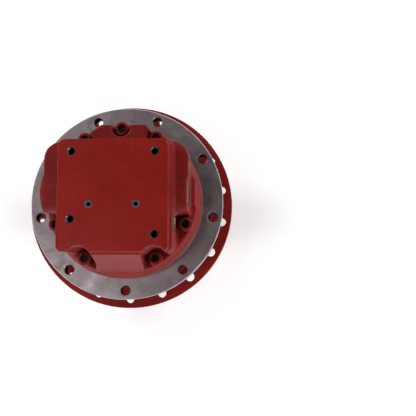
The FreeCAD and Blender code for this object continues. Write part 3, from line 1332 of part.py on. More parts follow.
def ports(body):
    """Ports, tapped holes of the top pad and spool bores."""
    top_holes = (("-top_hole_x", "top_hole_high_y"), ("top_hole_x", "top_hole_high_y"),
                 ("-top_hole_x", "left_hole_y"), ("top_hole_x", "right_hole_y"))
    sketch = new_sketch(body, "top_hole_sketch", "XY_Plane", "pad_z")
    for place in top_holes:
        circle(sketch, place, "top_hole_r")
    pocket(body, "top_holes", sketch, "top_hole_depth")
    for name, radius, depth in (("orifice", "orifice_r", "orifice_depth"),
                                ("orifice_mouth", "orifice_mouth_r", "orifice_mouth_depth"),
                                ("gauge_drilling", "gauge_drill_r", "pad_z - boss_z")):
        sketch = new_sketch(body, name + "_sketch", "XY_Plane", "pad_z")
        for side in ("-", ""):
            circle(sketch, (side + "orifice_x", "orifice_y"), radius)
        pocket(body, name, sketch, depth)
    for name, boss, sign, outward in (("left", "left_boss_x", "-", False),
                                      ("right", "right_boss_x", "", True)):
        mouth = "max(%s; lug_x)" % boss
        for what, radius, floor in (("port", "main_port_r", boss + " - main_port_depth"),
                                    ("spot_face", "spot_face_r", boss + " - spot_face_depth"),
                                    ("drilling", "main_passage_r", "orifice_x")):
            sketch = cross_sketch(body, "%s_%s_sketch" % (name, what), sign + mouth)
            circle(sketch, ("boss_y", "boss_z"), radius)
            pocket(body, "%s_%s" % (name, what), sketch, "%s - (%s)" % (mouth, floor), not outward)
        reach = sign + "lug_x"
        drained = "speed_spool_x" if outward else "-case_drain_x"
        for what, radius, depth in (("drain", "drain_port_r", "drain_port_depth"),
                                    ("drain_drilling", "passage_r", "lug_x - " + drained)):
            sketch = cross_sketch(body, "%s_%s_sketch" % (name, what), reach)
            circle(sketch, ("drain_port_y", "drain_port_z"), radius)
            pocket(body, "%s_%s" % (name, what), sketch, depth, reversed_way=not outward)
    sketch = cross_sketch(body, "spool_bore_sketch", "0")
    circle(sketch, ("spool_y", "spool_z"), "spool_r + spool_gap")
    pocket(body, "spool_bore", sketch)
    sketch = new_sketch(body, "speed_bore_sketch", "XZ_Plane", "-pad_high_y")
    circle(sketch, ("speed_spool_x", "speed_spool_z"), "speed_spool_r + spool_gap")
    pocket(body, "speed_bore", sketch, "pad_high_y - speed_bore_y", reversed_way=True)
    sketch = new_sketch(body, "pilot_port_sketch", "XZ_Plane", "-pad_high_y")
    circle(sketch, ("pilot_port_x", "pilot_port_z"), "pilot_port_r")
    pocket(body, "pilot_port", sketch, "pilot_port_depth", reversed_way=True)


def passages(body):
    """Drillings that join ports, spool bore, valve plate and motor case."""
    sketch = new_sketch(body, "upright_passage_sketch", "XY_Plane", "pilot_top_z")
    for side in ("-", ""):
        circle(sketch, (side + "piston_circle_r", "boss_y"), "passage_r")
    pocket(body, "upright_passages", sketch, "boss_z - pilot_top_z", reversed_way=True)
    sketch = new_sketch(body, "case_drain_sketch", "XY_Plane", "pilot_top_z")
    circle(sketch, ("case_drain_x", "drain_port_y"), "passage_r")
    pocket(body, "case_drain", sketch, "drain_port_z - pilot_top_z", reversed_way=True)
    sketch = new_sketch(body, "spool_passage_sketch", "XZ_Plane", "-boss_y")
    for side in ("-", ""):
        circle(sketch, (side + "piston_circle_r", "boss_z"), "passage_r")
    pocket(body, "spool_passages", sketch, "spool_passage_length")
    sketch = new_sketch(body, "shaft_pocket_sketch", "XY_Plane", "pilot_top_z")
    circle(sketch, ("0", "0"), "rear_bearing_r")
    pocket(body, "shaft_pocket", sketch, "shaft_top_z + shaft_end_room - pilot_top_z", reversed_way=True)


def valve_block_screws():
    """M12 socket head screws at the angles that the block's bosses leave free."""
    radius = size("block_screw_r")
    seat = size("base_top_z")
    tip = size("pilot_top_z") - size("block_screw_sunk")
    head_r, rounding = size("block_head_r"), size("block_head_rounding")
    head_top = seat + 2 * radius
    profile = [Vector(0, 0, tip), Vector(radius, 0, tip), Vector(radius, 0, seat),
               Vector(head_r, 0, seat), Vector(head_r, 0, head_top - rounding),
               Vector(head_r - rounding, 0, head_top), Vector(0, 0, head_top)]
    screw = Part.Face(Part.makePolygon(profile + profile[:1])).revolve(
        Vector(0, 0, 0), Vector(0, 0, 1), 360)
    screw = screw.cut(socket_cutter("block_socket_half", head_top, seat + radius))
    screw.translate(Vector(size("block_screw_circle_r"), 0, 0))
    return plain("valve_block_screws", Part.makeCompound([spun(screw, a) for a in BLOCK_SCREW_ANGLES]))


def socket_cutter(half, top, floor):
    """A hexagonal cutter round Z that runs past the top; half is half its width across flats."""
    corners = [on_circle(size(half) / math.cos(math.pi / 6), 60 * i) for i in range(7)]
    return slab(Part.Face(Part.makePolygon(corners)), top + size("overrun"), floor)


def turned_lying(body, name, plane, offset, across, points):
    """Turn a profile round a horizontal line; points are along it and out from it."""
    sketch = new_sketch(body, name + "_profile", plane, offset)
    outline(sketch, [(along, "%s + %s" % (across, out)) for along, out in points])
    axis_line(sketch, (points[0][0], across), (points[-1][0], across))
    revolve(body, name, sketch, "Axis0")


def coil_spring(body, name, plane, offset, across, start, end, sizes):
    """Wind a square wire between two rests on a horizontal line.

    start and end are the rests, in the order of the line's direction, and sizes are the
    outside radius of the coils and the side of the wire.
    """
    coil_r, wire = sizes
    way = "1" if worth(end) > worth(start) else "-1"
    near = "%s + %s * spring_end_gap" % (start, way)
    sketch = new_sketch(body, name + "_wire", plane, offset)
    outline(sketch, [
        (near, "%s + %s - %s" % (across, coil_r, wire)),
        ("%s + %s * %s" % (near, way, wire), "%s + %s - %s" % (across, coil_r, wire)),
        ("%s + %s * %s" % (near, way, wire), "%s + %s" % (across, coil_r)),
        (near, "%s + %s" % (across, coil_r)),
    ])
    axis_line(sketch, (start, across), (end, across))
    coil = body.newObject("PartDesign::AdditiveHelix", name)
    coil.Profile = sketch
    coil.ReferenceAxis = (sketch, ["Axis0"])
    coil.Mode = "height-turns-angle"
    coil.setExpression("Height", bound("abs((%s) - (%s)) - 2 * spring_end_gap - %s" % (end, start, wire)))
    coil.setExpression("Turns", bound("spring_turns"))


def counterbalance_valve():
    """Spool of the counterbalance valve, with a spring and a plug at each end."""
    line = ("XY_Plane", "spool_z", "spool_y")
    half, middle = "spool_half", "spool_middle_half"
    inner = "(spool_half - spool_land_length)"
    turned_lying(new_body("counterbalance_spool"), "spool", *line, [
        ("-" + half, "0"),
        ("-" + half, "spool_r"),
        ("-" + inner, "spool_r"),
        ("-" + inner, "spool_neck_r"),
        ("-" + middle, "spool_neck_r"),
        ("-" + middle, "spool_r"),
        (middle, "spool_r"),
        (middle, "spool_neck_r"),
        (inner, "spool_neck_r"),
        (inner, "spool_r"),
        (half, "spool_r"),
        (half, "0"),
    ])
    plugs, springs = new_body("counterbalance_plugs"), new_body("counterbalance_springs")
    for name, sign, face in (("left", "-", "pad_half_x"), ("right", "", "body_right_x")):
        rest = "%s(%s - plug_thread_length)" % (sign, face)
        turned_lying(plugs, name + "_plug", *line, [
            (rest, "0"),
            (rest, "spool_r + spool_gap"),
            (sign + face, "spool_r + spool_gap"),
            (sign + face, "0"),
        ])
        sketch = cross_sketch(plugs, name + "_plug_socket_sketch", sign + face)
        hexagon(sketch, ("spool_y", "spool_z"), "spool_plug_socket_half")
        pocket(plugs, name + "_plug_socket", sketch, "plug_thread_length / 2", sign == "-")
        coil_spring(springs, name + "_spring", *line, sign + half, rest, ("spring_r", "spring_wire"))


def two_speed_valve():
    """Spool of the two-speed valve, with its spring and plug."""
    line = ("YZ_Plane", "speed_spool_x", "speed_spool_z")
    land = "speed_bore_y + speed_land_length"
    end = "speed_bore_y + speed_spool_length"
    turned_lying(new_body("two_speed_spool"), "speed_spool", *line, [
        ("speed_bore_y", "0"),
        ("speed_bore_y", "speed_spool_r"),
        (land, "speed_spool_r"),
        (land, "speed_neck_r"),
        (land + " + speed_neck_length", "speed_neck_r"),
        (land + " + speed_neck_length", "speed_spool_r"),
        (end, "speed_spool_r"),
        (end, "0"),
    ])
    rest = "pad_high_y - plug_thread_length"
    plug = new_body("two_speed_plug")
    turned_lying(plug, "speed_plug", *line, [
        (rest, "0"),
        (rest, "speed_spool_r + spool_gap"),
        ("pad_high_y", "speed_spool_r + spool_gap"),
        ("pad_high_y", "0"),
    ])
    sketch = new_sketch(plug, "speed_plug_socket_sketch", "XZ_Plane", "-pad_high_y")
    hexagon(sketch, ("speed_spool_x", "speed_spool_z"), "speed_plug_socket_half")
    pocket(plug, "speed_plug_socket", sketch, "plug_thread_length / 2", reversed_way=True)
    coil_spring(new_body("two_speed_spring"), "speed_spring", *line, end, rest,
                ("speed_spring_r", "speed_wire"))


def o_ring(label, radius, level):
    """A static O-ring round Z, squeezed flat on four sides."""
    def corner(out, up):
        return ("%s + %s" % (radius, out), "%s + %s" % (level, up))

    flat, full = "o_ring_flat", "o_ring_r"
    turned(label, [
        corner(full, flat),
        corner(full, "-" + flat),
        corner(flat, "-" + full),
        corner("-" + flat, "-" + full),
        corner("-" + full, "-" + flat),
        corner("-" + full, flat),
        corner("-" + flat, full),
        corner(flat, full),
    ])


# ---------------------------------------------------------------- build
def build():
    spindle_housing()
    valve_block()
    valve_block_screws()
    main_bearing("rear", REAR_ROLLER_Z, 1)
    main_bearing("front", FRONT_ROLLER_Z, -1)
    bearing_nut()
    face_seal("fixed", 1)
    face_seal("rotating", -1)
    hub_casing()
    ring_gear()
    hub_cover()
    cover_screws()
    oil_plugs()
    thrust_pad()
    stage("1", "planet_1_teeth", worth(STAGE_1_CIRCLE), size("stage_1_rear_z"),
          size("stage_1_width"), size("pin_1_r"))
    stage("2", "planet_2_teeth", worth(STAGE_2_CIRCLE), size("stage_2_rear_z"),
          size("stage_2_width"), size("pin_2_r"))
    pins_and_clips("1", STAGE_1_CIRCLE, "pin_1_r", "carrier_rear_z", "stage_1_rear_z", "stage_1_width")
    pins_and_clips("2", STAGE_2_CIRCLE, "pin_2_r", "spindle_end_z + pin_2_sunk",
                   "stage_2_rear_z", "stage_2_width")
    carrier_1()
    first = size("first_planet_angle")
    gear("sun_gear_1", int(size("sun_1_teeth")), first,
         size("stage_1_rear_z") - size("sun_1_set_back"),
         size("shaft_end_z") + size("sun_1_end_room"), size("shaft_nose_r"))
    teeth = int(size("sun_2_teeth"))
    gear("sun_gear_2", teeth, first + 180 / teeth, size("stage_2_rear_z"),
         size("carrier_rear_z") - size("carrier_thick"), size("sun_2_bore_r"))
    drive_shaft()
    cylinder_block()
    pistons_and_shoes()
    shoe_retainer()
    ball_guide()
    friction_discs()
    brake_plates()
    brake_piston()
    valve_plate()
    swash_plate()
    swash_seats()
    shift_piston()
    shaft_parts()
    counterbalance_valve()
    two_speed_valve()
    o_ring("casing_o_ring", "face_o_ring_r", "pilot_top_z - o_ring_r")
    o_ring("cover_o_ring", "ring_r - o_ring_r", COVER_O_RING_Z)
    doc.recompute()


def check(piece):
    """Stop when a piece is not one or more valid solids."""
    if piece.Shape.isNull() or not piece.Shape.isValid() or not piece.Shape.Solids:
        raise ValueError("%s has no valid solid" % piece.Label)


def export():
    for item in doc.Objects:
        if "Invalid" in item.State or "Error" in item.State:
            raise ValueError("%s is %s" % (item.Label, item.State))
    pieces = [item for item in doc.Objects
              if item.TypeId in ("PartDesign::Body", "Part::Feature")]
    for piece in pieces:
        check(piece)
    for piece in pieces:
        piece.Shape.exportStep("parts/%s.step" % piece.Label)
    print("%d pieces" % len(pieces))


build()
export()
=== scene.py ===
# %% [markdown]
# # Track drive of a small excavator
# The drive is a round, painted machine about 28 cm across. It stands on its closed front cover,
# so a reader looks down on the valve block that faces the undercarriage. The measured CAD
# assembly is the fixed base: this notebook lights it, finishes every surface and adds the
# small things that a maker's drawing leaves out, such as threads, cast skin and broken edges.

# %% Load the frame
import json
import math

import bmesh
import bpy
from mathutils import Matrix, Vector


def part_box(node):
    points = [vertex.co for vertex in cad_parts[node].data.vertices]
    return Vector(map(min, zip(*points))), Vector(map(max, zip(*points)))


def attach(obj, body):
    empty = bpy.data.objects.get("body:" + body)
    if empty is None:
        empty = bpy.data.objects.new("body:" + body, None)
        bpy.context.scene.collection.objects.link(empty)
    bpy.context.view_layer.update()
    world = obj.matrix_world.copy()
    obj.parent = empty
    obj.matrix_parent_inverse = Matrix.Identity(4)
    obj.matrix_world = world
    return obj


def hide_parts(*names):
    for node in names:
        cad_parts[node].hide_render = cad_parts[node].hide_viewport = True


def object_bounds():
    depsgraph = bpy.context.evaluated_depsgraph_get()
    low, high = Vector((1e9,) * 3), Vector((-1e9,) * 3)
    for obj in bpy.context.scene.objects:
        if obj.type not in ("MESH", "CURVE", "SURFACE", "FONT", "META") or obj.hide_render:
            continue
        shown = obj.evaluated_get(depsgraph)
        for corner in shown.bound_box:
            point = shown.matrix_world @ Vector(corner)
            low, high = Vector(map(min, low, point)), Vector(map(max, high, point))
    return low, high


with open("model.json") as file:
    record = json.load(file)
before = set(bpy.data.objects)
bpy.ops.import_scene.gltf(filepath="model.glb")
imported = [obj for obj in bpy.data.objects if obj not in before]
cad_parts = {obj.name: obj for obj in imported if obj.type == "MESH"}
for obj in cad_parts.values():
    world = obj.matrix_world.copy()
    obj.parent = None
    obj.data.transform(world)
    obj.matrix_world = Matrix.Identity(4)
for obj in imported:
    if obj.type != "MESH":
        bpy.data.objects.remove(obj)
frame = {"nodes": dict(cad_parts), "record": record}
cad_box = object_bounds()
NODES = frame["nodes"]
MM = 0.001
print("loaded", len(NODES), "nodes, box", [[round(v, 4) for v in corner] for corner in cad_box])

# %% [markdown]
# ## Camera
# The view is almost straight down, from a little right of and below the drive, with a lens
# that is neither wide nor long. The camera's axes are worked out from the direction in which
# it looks, because a tracking constraint would turn it freely when it looks down.

# %% Camera
EYE = Vector((0.1300, -0.1090, 0.8327))
LOOK = Vector((-0.0274, 0.1207, -0.9923)).normalized()
side = LOOK.cross(Vector((0, 1, 0))).normalized()
turned = Matrix((side, side.cross(LOOK), -LOOK)).transposed()
bpy.ops.object.camera_add(location=EYE, rotation=turned.to_euler())
camera = bpy.context.object
camera.data.sensor_width = 36
camera.data.lens = 55.38
camera.data.clip_start = 0.01
bpy.context.scene.camera = camera
bpy.context.scene.view_settings.view_transform = "Standard"
print("camera at", [round(v, 3) for v in camera.location])

# %% [markdown]
# ## Floor and studio light
# A product is photographed on a white table under large soft lamps. The floor is a wide pale
# disc just below the drive's lowest face. The walls of the studio are white near the floor and
# dark overhead, so that flat faces don't mirror a white ceiling and the paint keeps its depth.
# Two weak panels overhead give the flat faces a soft reflection at the left, and four lamps
# at the sides light the walls and pick out the edges.

# %% Floor
FLOOR_Z = cad_box[0][2] - 0.0002
FLOOR_R = 6
bpy.ops.object.select_all(action="DESELECT")
bpy.ops.mesh.primitive_circle_add(vertices=96, radius=FLOOR_R, fill_type="NGON",
                                  location=(0, 0, FLOOR_Z))
floor = bpy.context.object
floor.name = "floor"
paper = bpy.data.materials.new("white_table")
paper.use_nodes = True
surface = paper.node_tree.nodes["Principled BSDF"]
surface.inputs["Base Color"].default_value = (0.93, 0.93, 0.93, 1)
surface.inputs["Roughness"].default_value = 0.9
surface.inputs["Emission Color"].default_value = (1, 1, 1, 1)
far = paper.node_tree.nodes.new("ShaderNodeVectorMath")
far.operation = "LENGTH"
glow = paper.node_tree.nodes.new("ShaderNodeMapRange")
for name, value in (("From Min", 0.5), ("From Max", 3.0), ("To Min", 0.22), ("To Max", 0.85)):
    glow.inputs[name].default_value = value
spot = paper.node_tree.nodes.new("ShaderNodeTexCoord")
paper.node_tree.links.new(spot.outputs["Object"], far.inputs[0])
paper.node_tree.links.new(far.outputs["Value"], glow.inputs["Value"])
paper.node_tree.links.new(glow.outputs["Result"], surface.inputs["Emission Strength"])
floor.data.materials.append(paper)
print("floor at height", round(FLOOR_Z, 4))

# %% Studio walls and lamps
world = bpy.data.worlds.new("studio")
bpy.context.scene.world = world
world.use_nodes = True
sky = world.node_tree
direction = sky.nodes.new("ShaderNodeTexCoord")
split = sky.nodes.new("ShaderNodeSeparateXYZ")
fade = sky.nodes.new("ShaderNodeMapRange")
# The sine of the height angle goes from the white walls to the dark ceiling.
for name, value in (("From Min", 0.12), ("From Max", 0.45), ("To Min", 0.8), ("To Max", 0.06)):
    fade.inputs[name].default_value = value
sky.links.new(direction.outputs["Generated"], split.inputs[0])
sky.links.new(split.outputs["Z"], fade.inputs["Value"])
sky.links.new(fade.outputs["Result"], sky.nodes["Background"].inputs["Strength"])
sky.nodes["Background"].inputs["Color"].default_value = (1, 1, 1, 1)


def soft_lamp(name, place, aim, width, height, power):
    """A large rectangular lamp that faces a point."""
    bpy.ops.object.light_add(type="AREA", location=place)
    lamp = bpy.context.object
    lamp.name = name
    lamp.data.shape = "RECTANGLE"
    lamp.data.size = width
    lamp.data.size_y = height
    lamp.data.energy = power
    lamp.rotation_euler = (Vector(aim) - Vector(place)).to_track_quat("-Z", "Y").to_euler()
    print(name, "gives", power, "W")


soft_lamp("ceiling_panel", (-0.85, 0.80, 1.9), (-0.85, 0.80, 0), 1.1, 1.0, 1.6)
soft_lamp("left_panel", (-0.53, -0.17, 1.9), (-0.25, -0.1, 0), 0.3, 0.34, 1.7)
for name, x, y, power in (("left_back_lamp", -1.2, 1.0, 14), ("right_back_lamp", 1.2, 1.0, 12),
                          ("left_front_lamp", -1.2, -1.0, 14), ("right_front_lamp", 1.2, -1.0, 15)):
    soft_lamp(name, (x, y, 1.0), (0, 0, 0.03), 0.5, 0.4, power)

# %% [markdown]
# ## Helpers for materials
# Every finish is a Principled shader whose colour, roughness and relief come from procedural
# textures in the object's own coordinates. As those are metres, a noise scale of 500 makes
# grains of about 2 mm. A few helpers keep the node trees readable: one starts a material, one
# adds any node and links or sets its sockets, and three make the textures used most.

# %% Material helpers
def start_material(name, colour, metal, rough):
    """A new material with plain values; returns it with its tree and shader."""
    material = bpy.data.materials.new(name)
    material.use_nodes = True
    tree = material.node_tree
    shader = tree.nodes["Principled BSDF"]
    shader.inputs["Base Color"].default_value = (*colour, 1)
    shader.inputs["Metallic"].default_value = metal
    shader.inputs["Roughness"].default_value = rough
    return material, tree, shader


def add_node(tree, kind, sockets, **settings):
    """Add a node; a socket gets a link when its value is an output, else the plain value."""
    made = tree.nodes.new("ShaderNode" + kind)
    for key, value in settings.items():
        setattr(made, key, value)
    for key, value in sockets.items():
        if isinstance(value, bpy.types.NodeSocket):
            tree.links.new(value, made.inputs[key])
        else:
            made.inputs[key].default_value = value
    return made


def object_place(tree):
    """Object coordinates, in metres."""
    return add_node(tree, "TexCoord", {}).outputs["Object"]


def grain(tree, scale, detail=2.0, place=None, distortion=0.0):
    """Noise from 0 to 1 with lumps of 1/scale metres."""
    place = place or object_place(tree)
    made = add_node(tree, "TexNoise", {"Vector": place, "Scale": scale, "Detail": detail,
                                       "Distortion": distortion})
    return made.outputs["Fac"]


def between(tree, amount, low, high, first, last):
    """Remap an amount in low..high to first..last."""
    made = add_node(tree, "MapRange", {"Value": amount, "From Min": low, "From Max": high,
                                       "To Min": first, "To Max": last})
    return made.outputs["Result"]


def blend_colours(tree, amount, first, second):
    """Mix two colours; either may be a plain colour or another node's output."""
    made = add_node(tree, "Mix", {0: amount}, data_type="RGBA")
    for socket, colour in ((6, first), (7, second)):
        if isinstance(colour, bpy.types.NodeSocket):
            tree.links.new(colour, made.inputs[socket])
        else:
            made.inputs[socket].default_value = (*colour, 1)
    return made.outputs[2]


def relief(tree, height, depth, strength=1.0, under=None):
    """Bump from a height texture; depth is in metres."""
    sockets = {"Height": height, "Distance": depth, "Strength": strength}
    if under:
        sockets["Normal"] = under
    return add_node(tree, "Bump", sockets).outputs["Normal"]


print("material helpers are ready")

# %% [markdown]
# ## Red enamel
# The castings are sprayed in one coat of red enamel over rough sand-cast iron. Sprayed paint
# is not one red. Three layers of noise give that: wide clouds change the red, a fine orange
# peel breaks the gloss, and a coarser layer under it is the casting's own skin. The red is
# also darkened where little open space is near, a painted shade in corners and round screw
# heads. The paint reflects less than a polished lacquer, so its steep walls don't turn white
# above a white table. It lies smoother on the machined pad than on the rough cast walls.

# %% Red enamel
SMOOTH_GLOSS = 0.27


def enamel(name, dark, light, rough, skin, smooth_above=None):
    """Sprayed enamel; skin is the depth of the relief under the paint, in metres."""
    material, tree, shader = start_material(name, light, 0.0, rough)
    clouds = grain(tree, 14, 3, distortion=0.6)
    specks = grain(tree, 160, 4)
    tint = between(tree, clouds, 0.35, 0.7, 0.0, 1.0)
    colour = blend_colours(tree, tint, dark, light)
    mottle = between(tree, specks, 0.3, 0.75, 0.9, 1.04)
    mottled = add_node(tree, "Mix", {0: 1.0, 6: colour}, data_type="RGBA", blend_type="MULTIPLY")
    grey = add_node(tree, "CombineColor", {"Red": mottle, "Green": mottle, "Blue": mottle})
    tree.links.new(grey.outputs[0], mottled.inputs[7])
    # Painted shade: the red is darkened towards near-black where the occlusion finds little open space.
    hollow = add_node(tree, "AmbientOcclusion", {"Distance": 0.014}, samples=8)
    painted_shade = between(tree, hollow.outputs["AO"], 0.25, 0.8, 0.6, 0.0)
    shaded_colour = blend_colours(tree, painted_shade, mottled.outputs[2], (0.012, 0.006, 0.005))
    tree.links.new(shaded_colour, shader.inputs["Base Color"])
    gloss = between(tree, grain(tree, 45, 3), 0.3, 0.7, rough - 0.03, rough + 0.04)
    if smooth_above:
        height = add_node(tree, "SeparateXYZ", {"Vector": object_place(tree)}).outputs["Z"]
        flat = between(tree, height, smooth_above - 0.0012, smooth_above - 0.0004, 0.0, 1.0)
        gloss = add_node(tree, "Mix", {0: flat, 2: gloss, 3: SMOOTH_GLOSS}, data_type="FLOAT").outputs[0]
    tree.links.new(gloss, shader.inputs["Roughness"])
    cast = relief(tree, grain(tree, 210, 5), skin, 0.7)
    peel = relief(tree, grain(tree, 900, 2), 0.00005, 0.5, under=cast)
    tree.links.new(peel, shader.inputs["Normal"])
    shader.inputs["Specular IOR Level"].default_value = 0.16
    return material


RED_CAST = enamel("red_cast_enamel", (0.185, 0.0085, 0.0065), (0.228, 0.0108, 0.008), 0.46, 0.00020,
                  smooth_above=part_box("valve_block")[1][2])
RED_SMOOTH = enamel("red_smooth_enamel", (0.18, 0.0085, 0.0065), (0.222, 0.0108, 0.008), 0.28, 0.00006)
print("made", RED_CAST.name, "and", RED_SMOOTH.name)

# %% [markdown]
# ## Bare metals
# The frame flange is machined cast iron with the faint rings of the lathe tool, thin oil
# stains and a breath of rust. The other metals are inside the drive: each gets tool marks that
# run the way its surface was cut, because turned faces show rings about the axis and ground
# ones only a fine, even grain. The rings come from a noise that reads nothing but the
# distance from the axis.

# %% Bare metals
def ring_place(tree, centre=(0, 0, 0)):
    """A place whose x is the distance from an upright axis, for turned marks."""
    moved = add_node(tree, "VectorMath", {0: object_place(tree), 1: (1, 1, 0)}, operation="MULTIPLY")
    shifted = add_node(tree, "VectorMath", {0: moved.outputs[0], 1: centre}, operation="SUBTRACT")
    away = add_node(tree, "VectorMath", {0: shifted.outputs[0]}, operation="LENGTH")
    return add_node(tree, "CombineXYZ", {"X": away.outputs["Value"]}).outputs[0]


def bare_metal(name, colour, rough, marks, stain=None, stain_cover=0.0, metal=1.0, turned_marks=True):
    """Cut metal; marks is the strength of the tool marks and stain an oil or rust colour."""
    material, tree, shader = start_material(name, colour, metal, rough)
    place = ring_place(tree) if turned_marks else object_place(tree)
    lines = grain(tree, 1300, 3, place=place)
    clouds = grain(tree, 26, 4, distortion=0.8)
    shade = between(tree, clouds, 0.3, 0.7, 0.0, 1.0)
    darker = tuple(v * 0.72 for v in colour)
    tone = blend_colours(tree, shade, darker, colour)
    if stain:
        spots = grain(tree, 38, 6, distortion=1.4)
        cover = between(tree, spots, 0.56, 0.74, 0.0, stain_cover)
        tone = blend_colours(tree, cover, tone, stain)
    tree.links.new(tone, shader.inputs["Base Color"])
    smears = grain(tree, 60, 4)
    uneven = between(tree, smears, 0.3, 0.7, rough - 0.05, rough + 0.07)
    tree.links.new(uneven, shader.inputs["Roughness"])
    tree.links.new(relief(tree, lines, 0.00004, marks), shader.inputs["Normal"])
    return material


# Both iron greys are tinted pink, a painted reflection of the red paint round the flange.
FLANGE_IRON = bare_metal("machined_iron", (0.43, 0.385, 0.395), 0.35, 0.5, (0.16, 0.1, 0.075), 0.5)
HOUSING_IRON = bare_metal("housing_iron", (0.43, 0.365, 0.377), 0.35, 0.6, (0.15, 0.09, 0.07), 0.55)
BEARING_STEEL = bare_metal("bearing_steel", (0.62, 0.63, 0.64), 0.16, 0.12)
GEAR_STEEL = bare_metal("gear_steel", (0.33, 0.33, 0.335), 0.3, 0.25, (0.14, 0.11, 0.07), 0.3,
                        turned_marks=False)
SHAFT_STEEL = bare_metal("shaft_steel", (0.45, 0.455, 0.46), 0.24, 0.2)
SPRING_STEEL = bare_metal("spring_steel", (0.09, 0.093, 0.1), 0.4, 0.2, turned_marks=False)
SEAL_IRON = bare_metal("seal_iron", (0.3, 0.3, 0.31), 0.22, 0.2)
BRONZE = bare_metal("bronze", (0.55, 0.32, 0.12), 0.28, 0.25, (0.25, 0.13, 0.05), 0.3)
ZINC = bare_metal("zinc_plate", (0.55, 0.57, 0.6), 0.27, 0.15, (0.42, 0.4, 0.3), 0.3,
                  turned_marks=False)
BLACK_STEEL = bare_metal("black_oxide", (0.02, 0.02, 0.022), 0.38, 0.2, turned_marks=False)
print("made", len([m for m in bpy.data.materials if m.use_nodes]), "materials so far")

# %% [markdown]
# ## Paint line on the spindle housing
# The drive was sprayed after the flange was turned, and the flange face was masked. The spindle
# housing is therefore bare on its flange and red on the round wall above it. One material
# holds both: the height and the distance from the axis choose between iron and paint, and a
# little noise makes the masked edge uneven, as tape leaves it.

# %% Paint line
PAINT_FROM_R = 0.095
PAINT_FROM_Z = 0.0006


def paint_above(material, colour, rough):
    """Cover a bare metal with paint on its outer wall above the flange face."""
    tree = material.node_tree
    shader = tree.nodes["Principled BSDF"]
    place = object_place(tree)
    parts = add_node(tree, "SeparateXYZ", {"Vector": place})
    wobble = between(tree, grain(tree, 120, 3), 0.3, 0.7, -0.0004, 0.0005)
    height = add_node(tree, "Math", {0: parts.outputs["Z"], 1: wobble}, operation="ADD")
    away = add_node(tree, "SeparateXYZ", {"Vector": ring_place(tree)})
    over = between(tree, height.outputs[0], PAINT_FROM_Z, PAINT_FROM_Z + 0.0002, 0.0, 1.0)
    outside = between(tree, away.outputs["X"], PAINT_FROM_R, PAINT_FROM_R + 0.001, 0.0, 1.0)
    painted = add_node(tree, "Math", {0: over, 1: outside}, operation="MULTIPLY").outputs[0]
    metal = shader.inputs["Base Color"].links[0].from_socket
    tree.links.new(blend_colours(tree, painted, metal, colour), shader.inputs["Base Color"])
    bare_gloss = shader.inputs["Roughness"].links[0].from_socket
    gloss = add_node(tree, "Mix", {0: painted, 2: bare_gloss, 3: rough}, data_type="FLOAT")
    tree.links.new(gloss.outputs[0], shader.inputs["Roughness"])
    tree.links.new(between(tree, painted, 0.0, 1.0, 1.0, 0.0), shader.inputs["Metallic"])
    print(material.name, "is painted above", PAINT_FROM_Z * 1000, "mm")


def rust_and_rim_highlight(material, rim_r):
    """Fine rust specks in loose clouds and a brighter outer edge, partly rubbed metal and partly a
    painted highlight.
    """
    tree = material.node_tree
    shader = tree.nodes["Principled BSDF"]
    dots = between(tree, grain(tree, 520, 3), 0.6, 0.68, 0.0, 1.0)
    clouds = between(tree, grain(tree, 22, 3, distortion=1.0), 0.5, 0.66, 0.0, 0.8)
    specks = add_node(tree, "Math", {0: dots, 1: clouds}, operation="MULTIPLY").outputs[0]
    tone = shader.inputs["Base Color"].links[0].from_socket
    rusty = blend_colours(tree, specks, tone, (0.09, 0.045, 0.03))
    away = add_node(tree, "SeparateXYZ", {"Vector": ring_place(tree)}).outputs["X"]
    rim_noise = grain(tree, 180, 3)
    inner = between(tree, rim_noise, 0.3, 0.7, rim_r - 0.0003, rim_r - 0.0007)
    rim = add_node(tree, "Math", {0: away, 1: inner}, operation="GREATER_THAN").outputs[0]
    height = add_node(tree, "SeparateXYZ", {"Vector": object_place(tree)}).outputs["Z"]
    top = between(tree, height, -0.0014, -0.0006, 0.0, 1.0)
    rim_wear_and_highlight = add_node(tree, "Math", {0: rim, 1: top}, operation="MULTIPLY").outputs[0]
    # Partly rubbed metal and partly a painted highlight: the thin outer edge of the flange face is made
    # pale.
    tree.links.new(blend_colours(tree, rim_wear_and_highlight, rusty, (0.66, 0.6, 0.61)), shader.inputs["Base Color"])


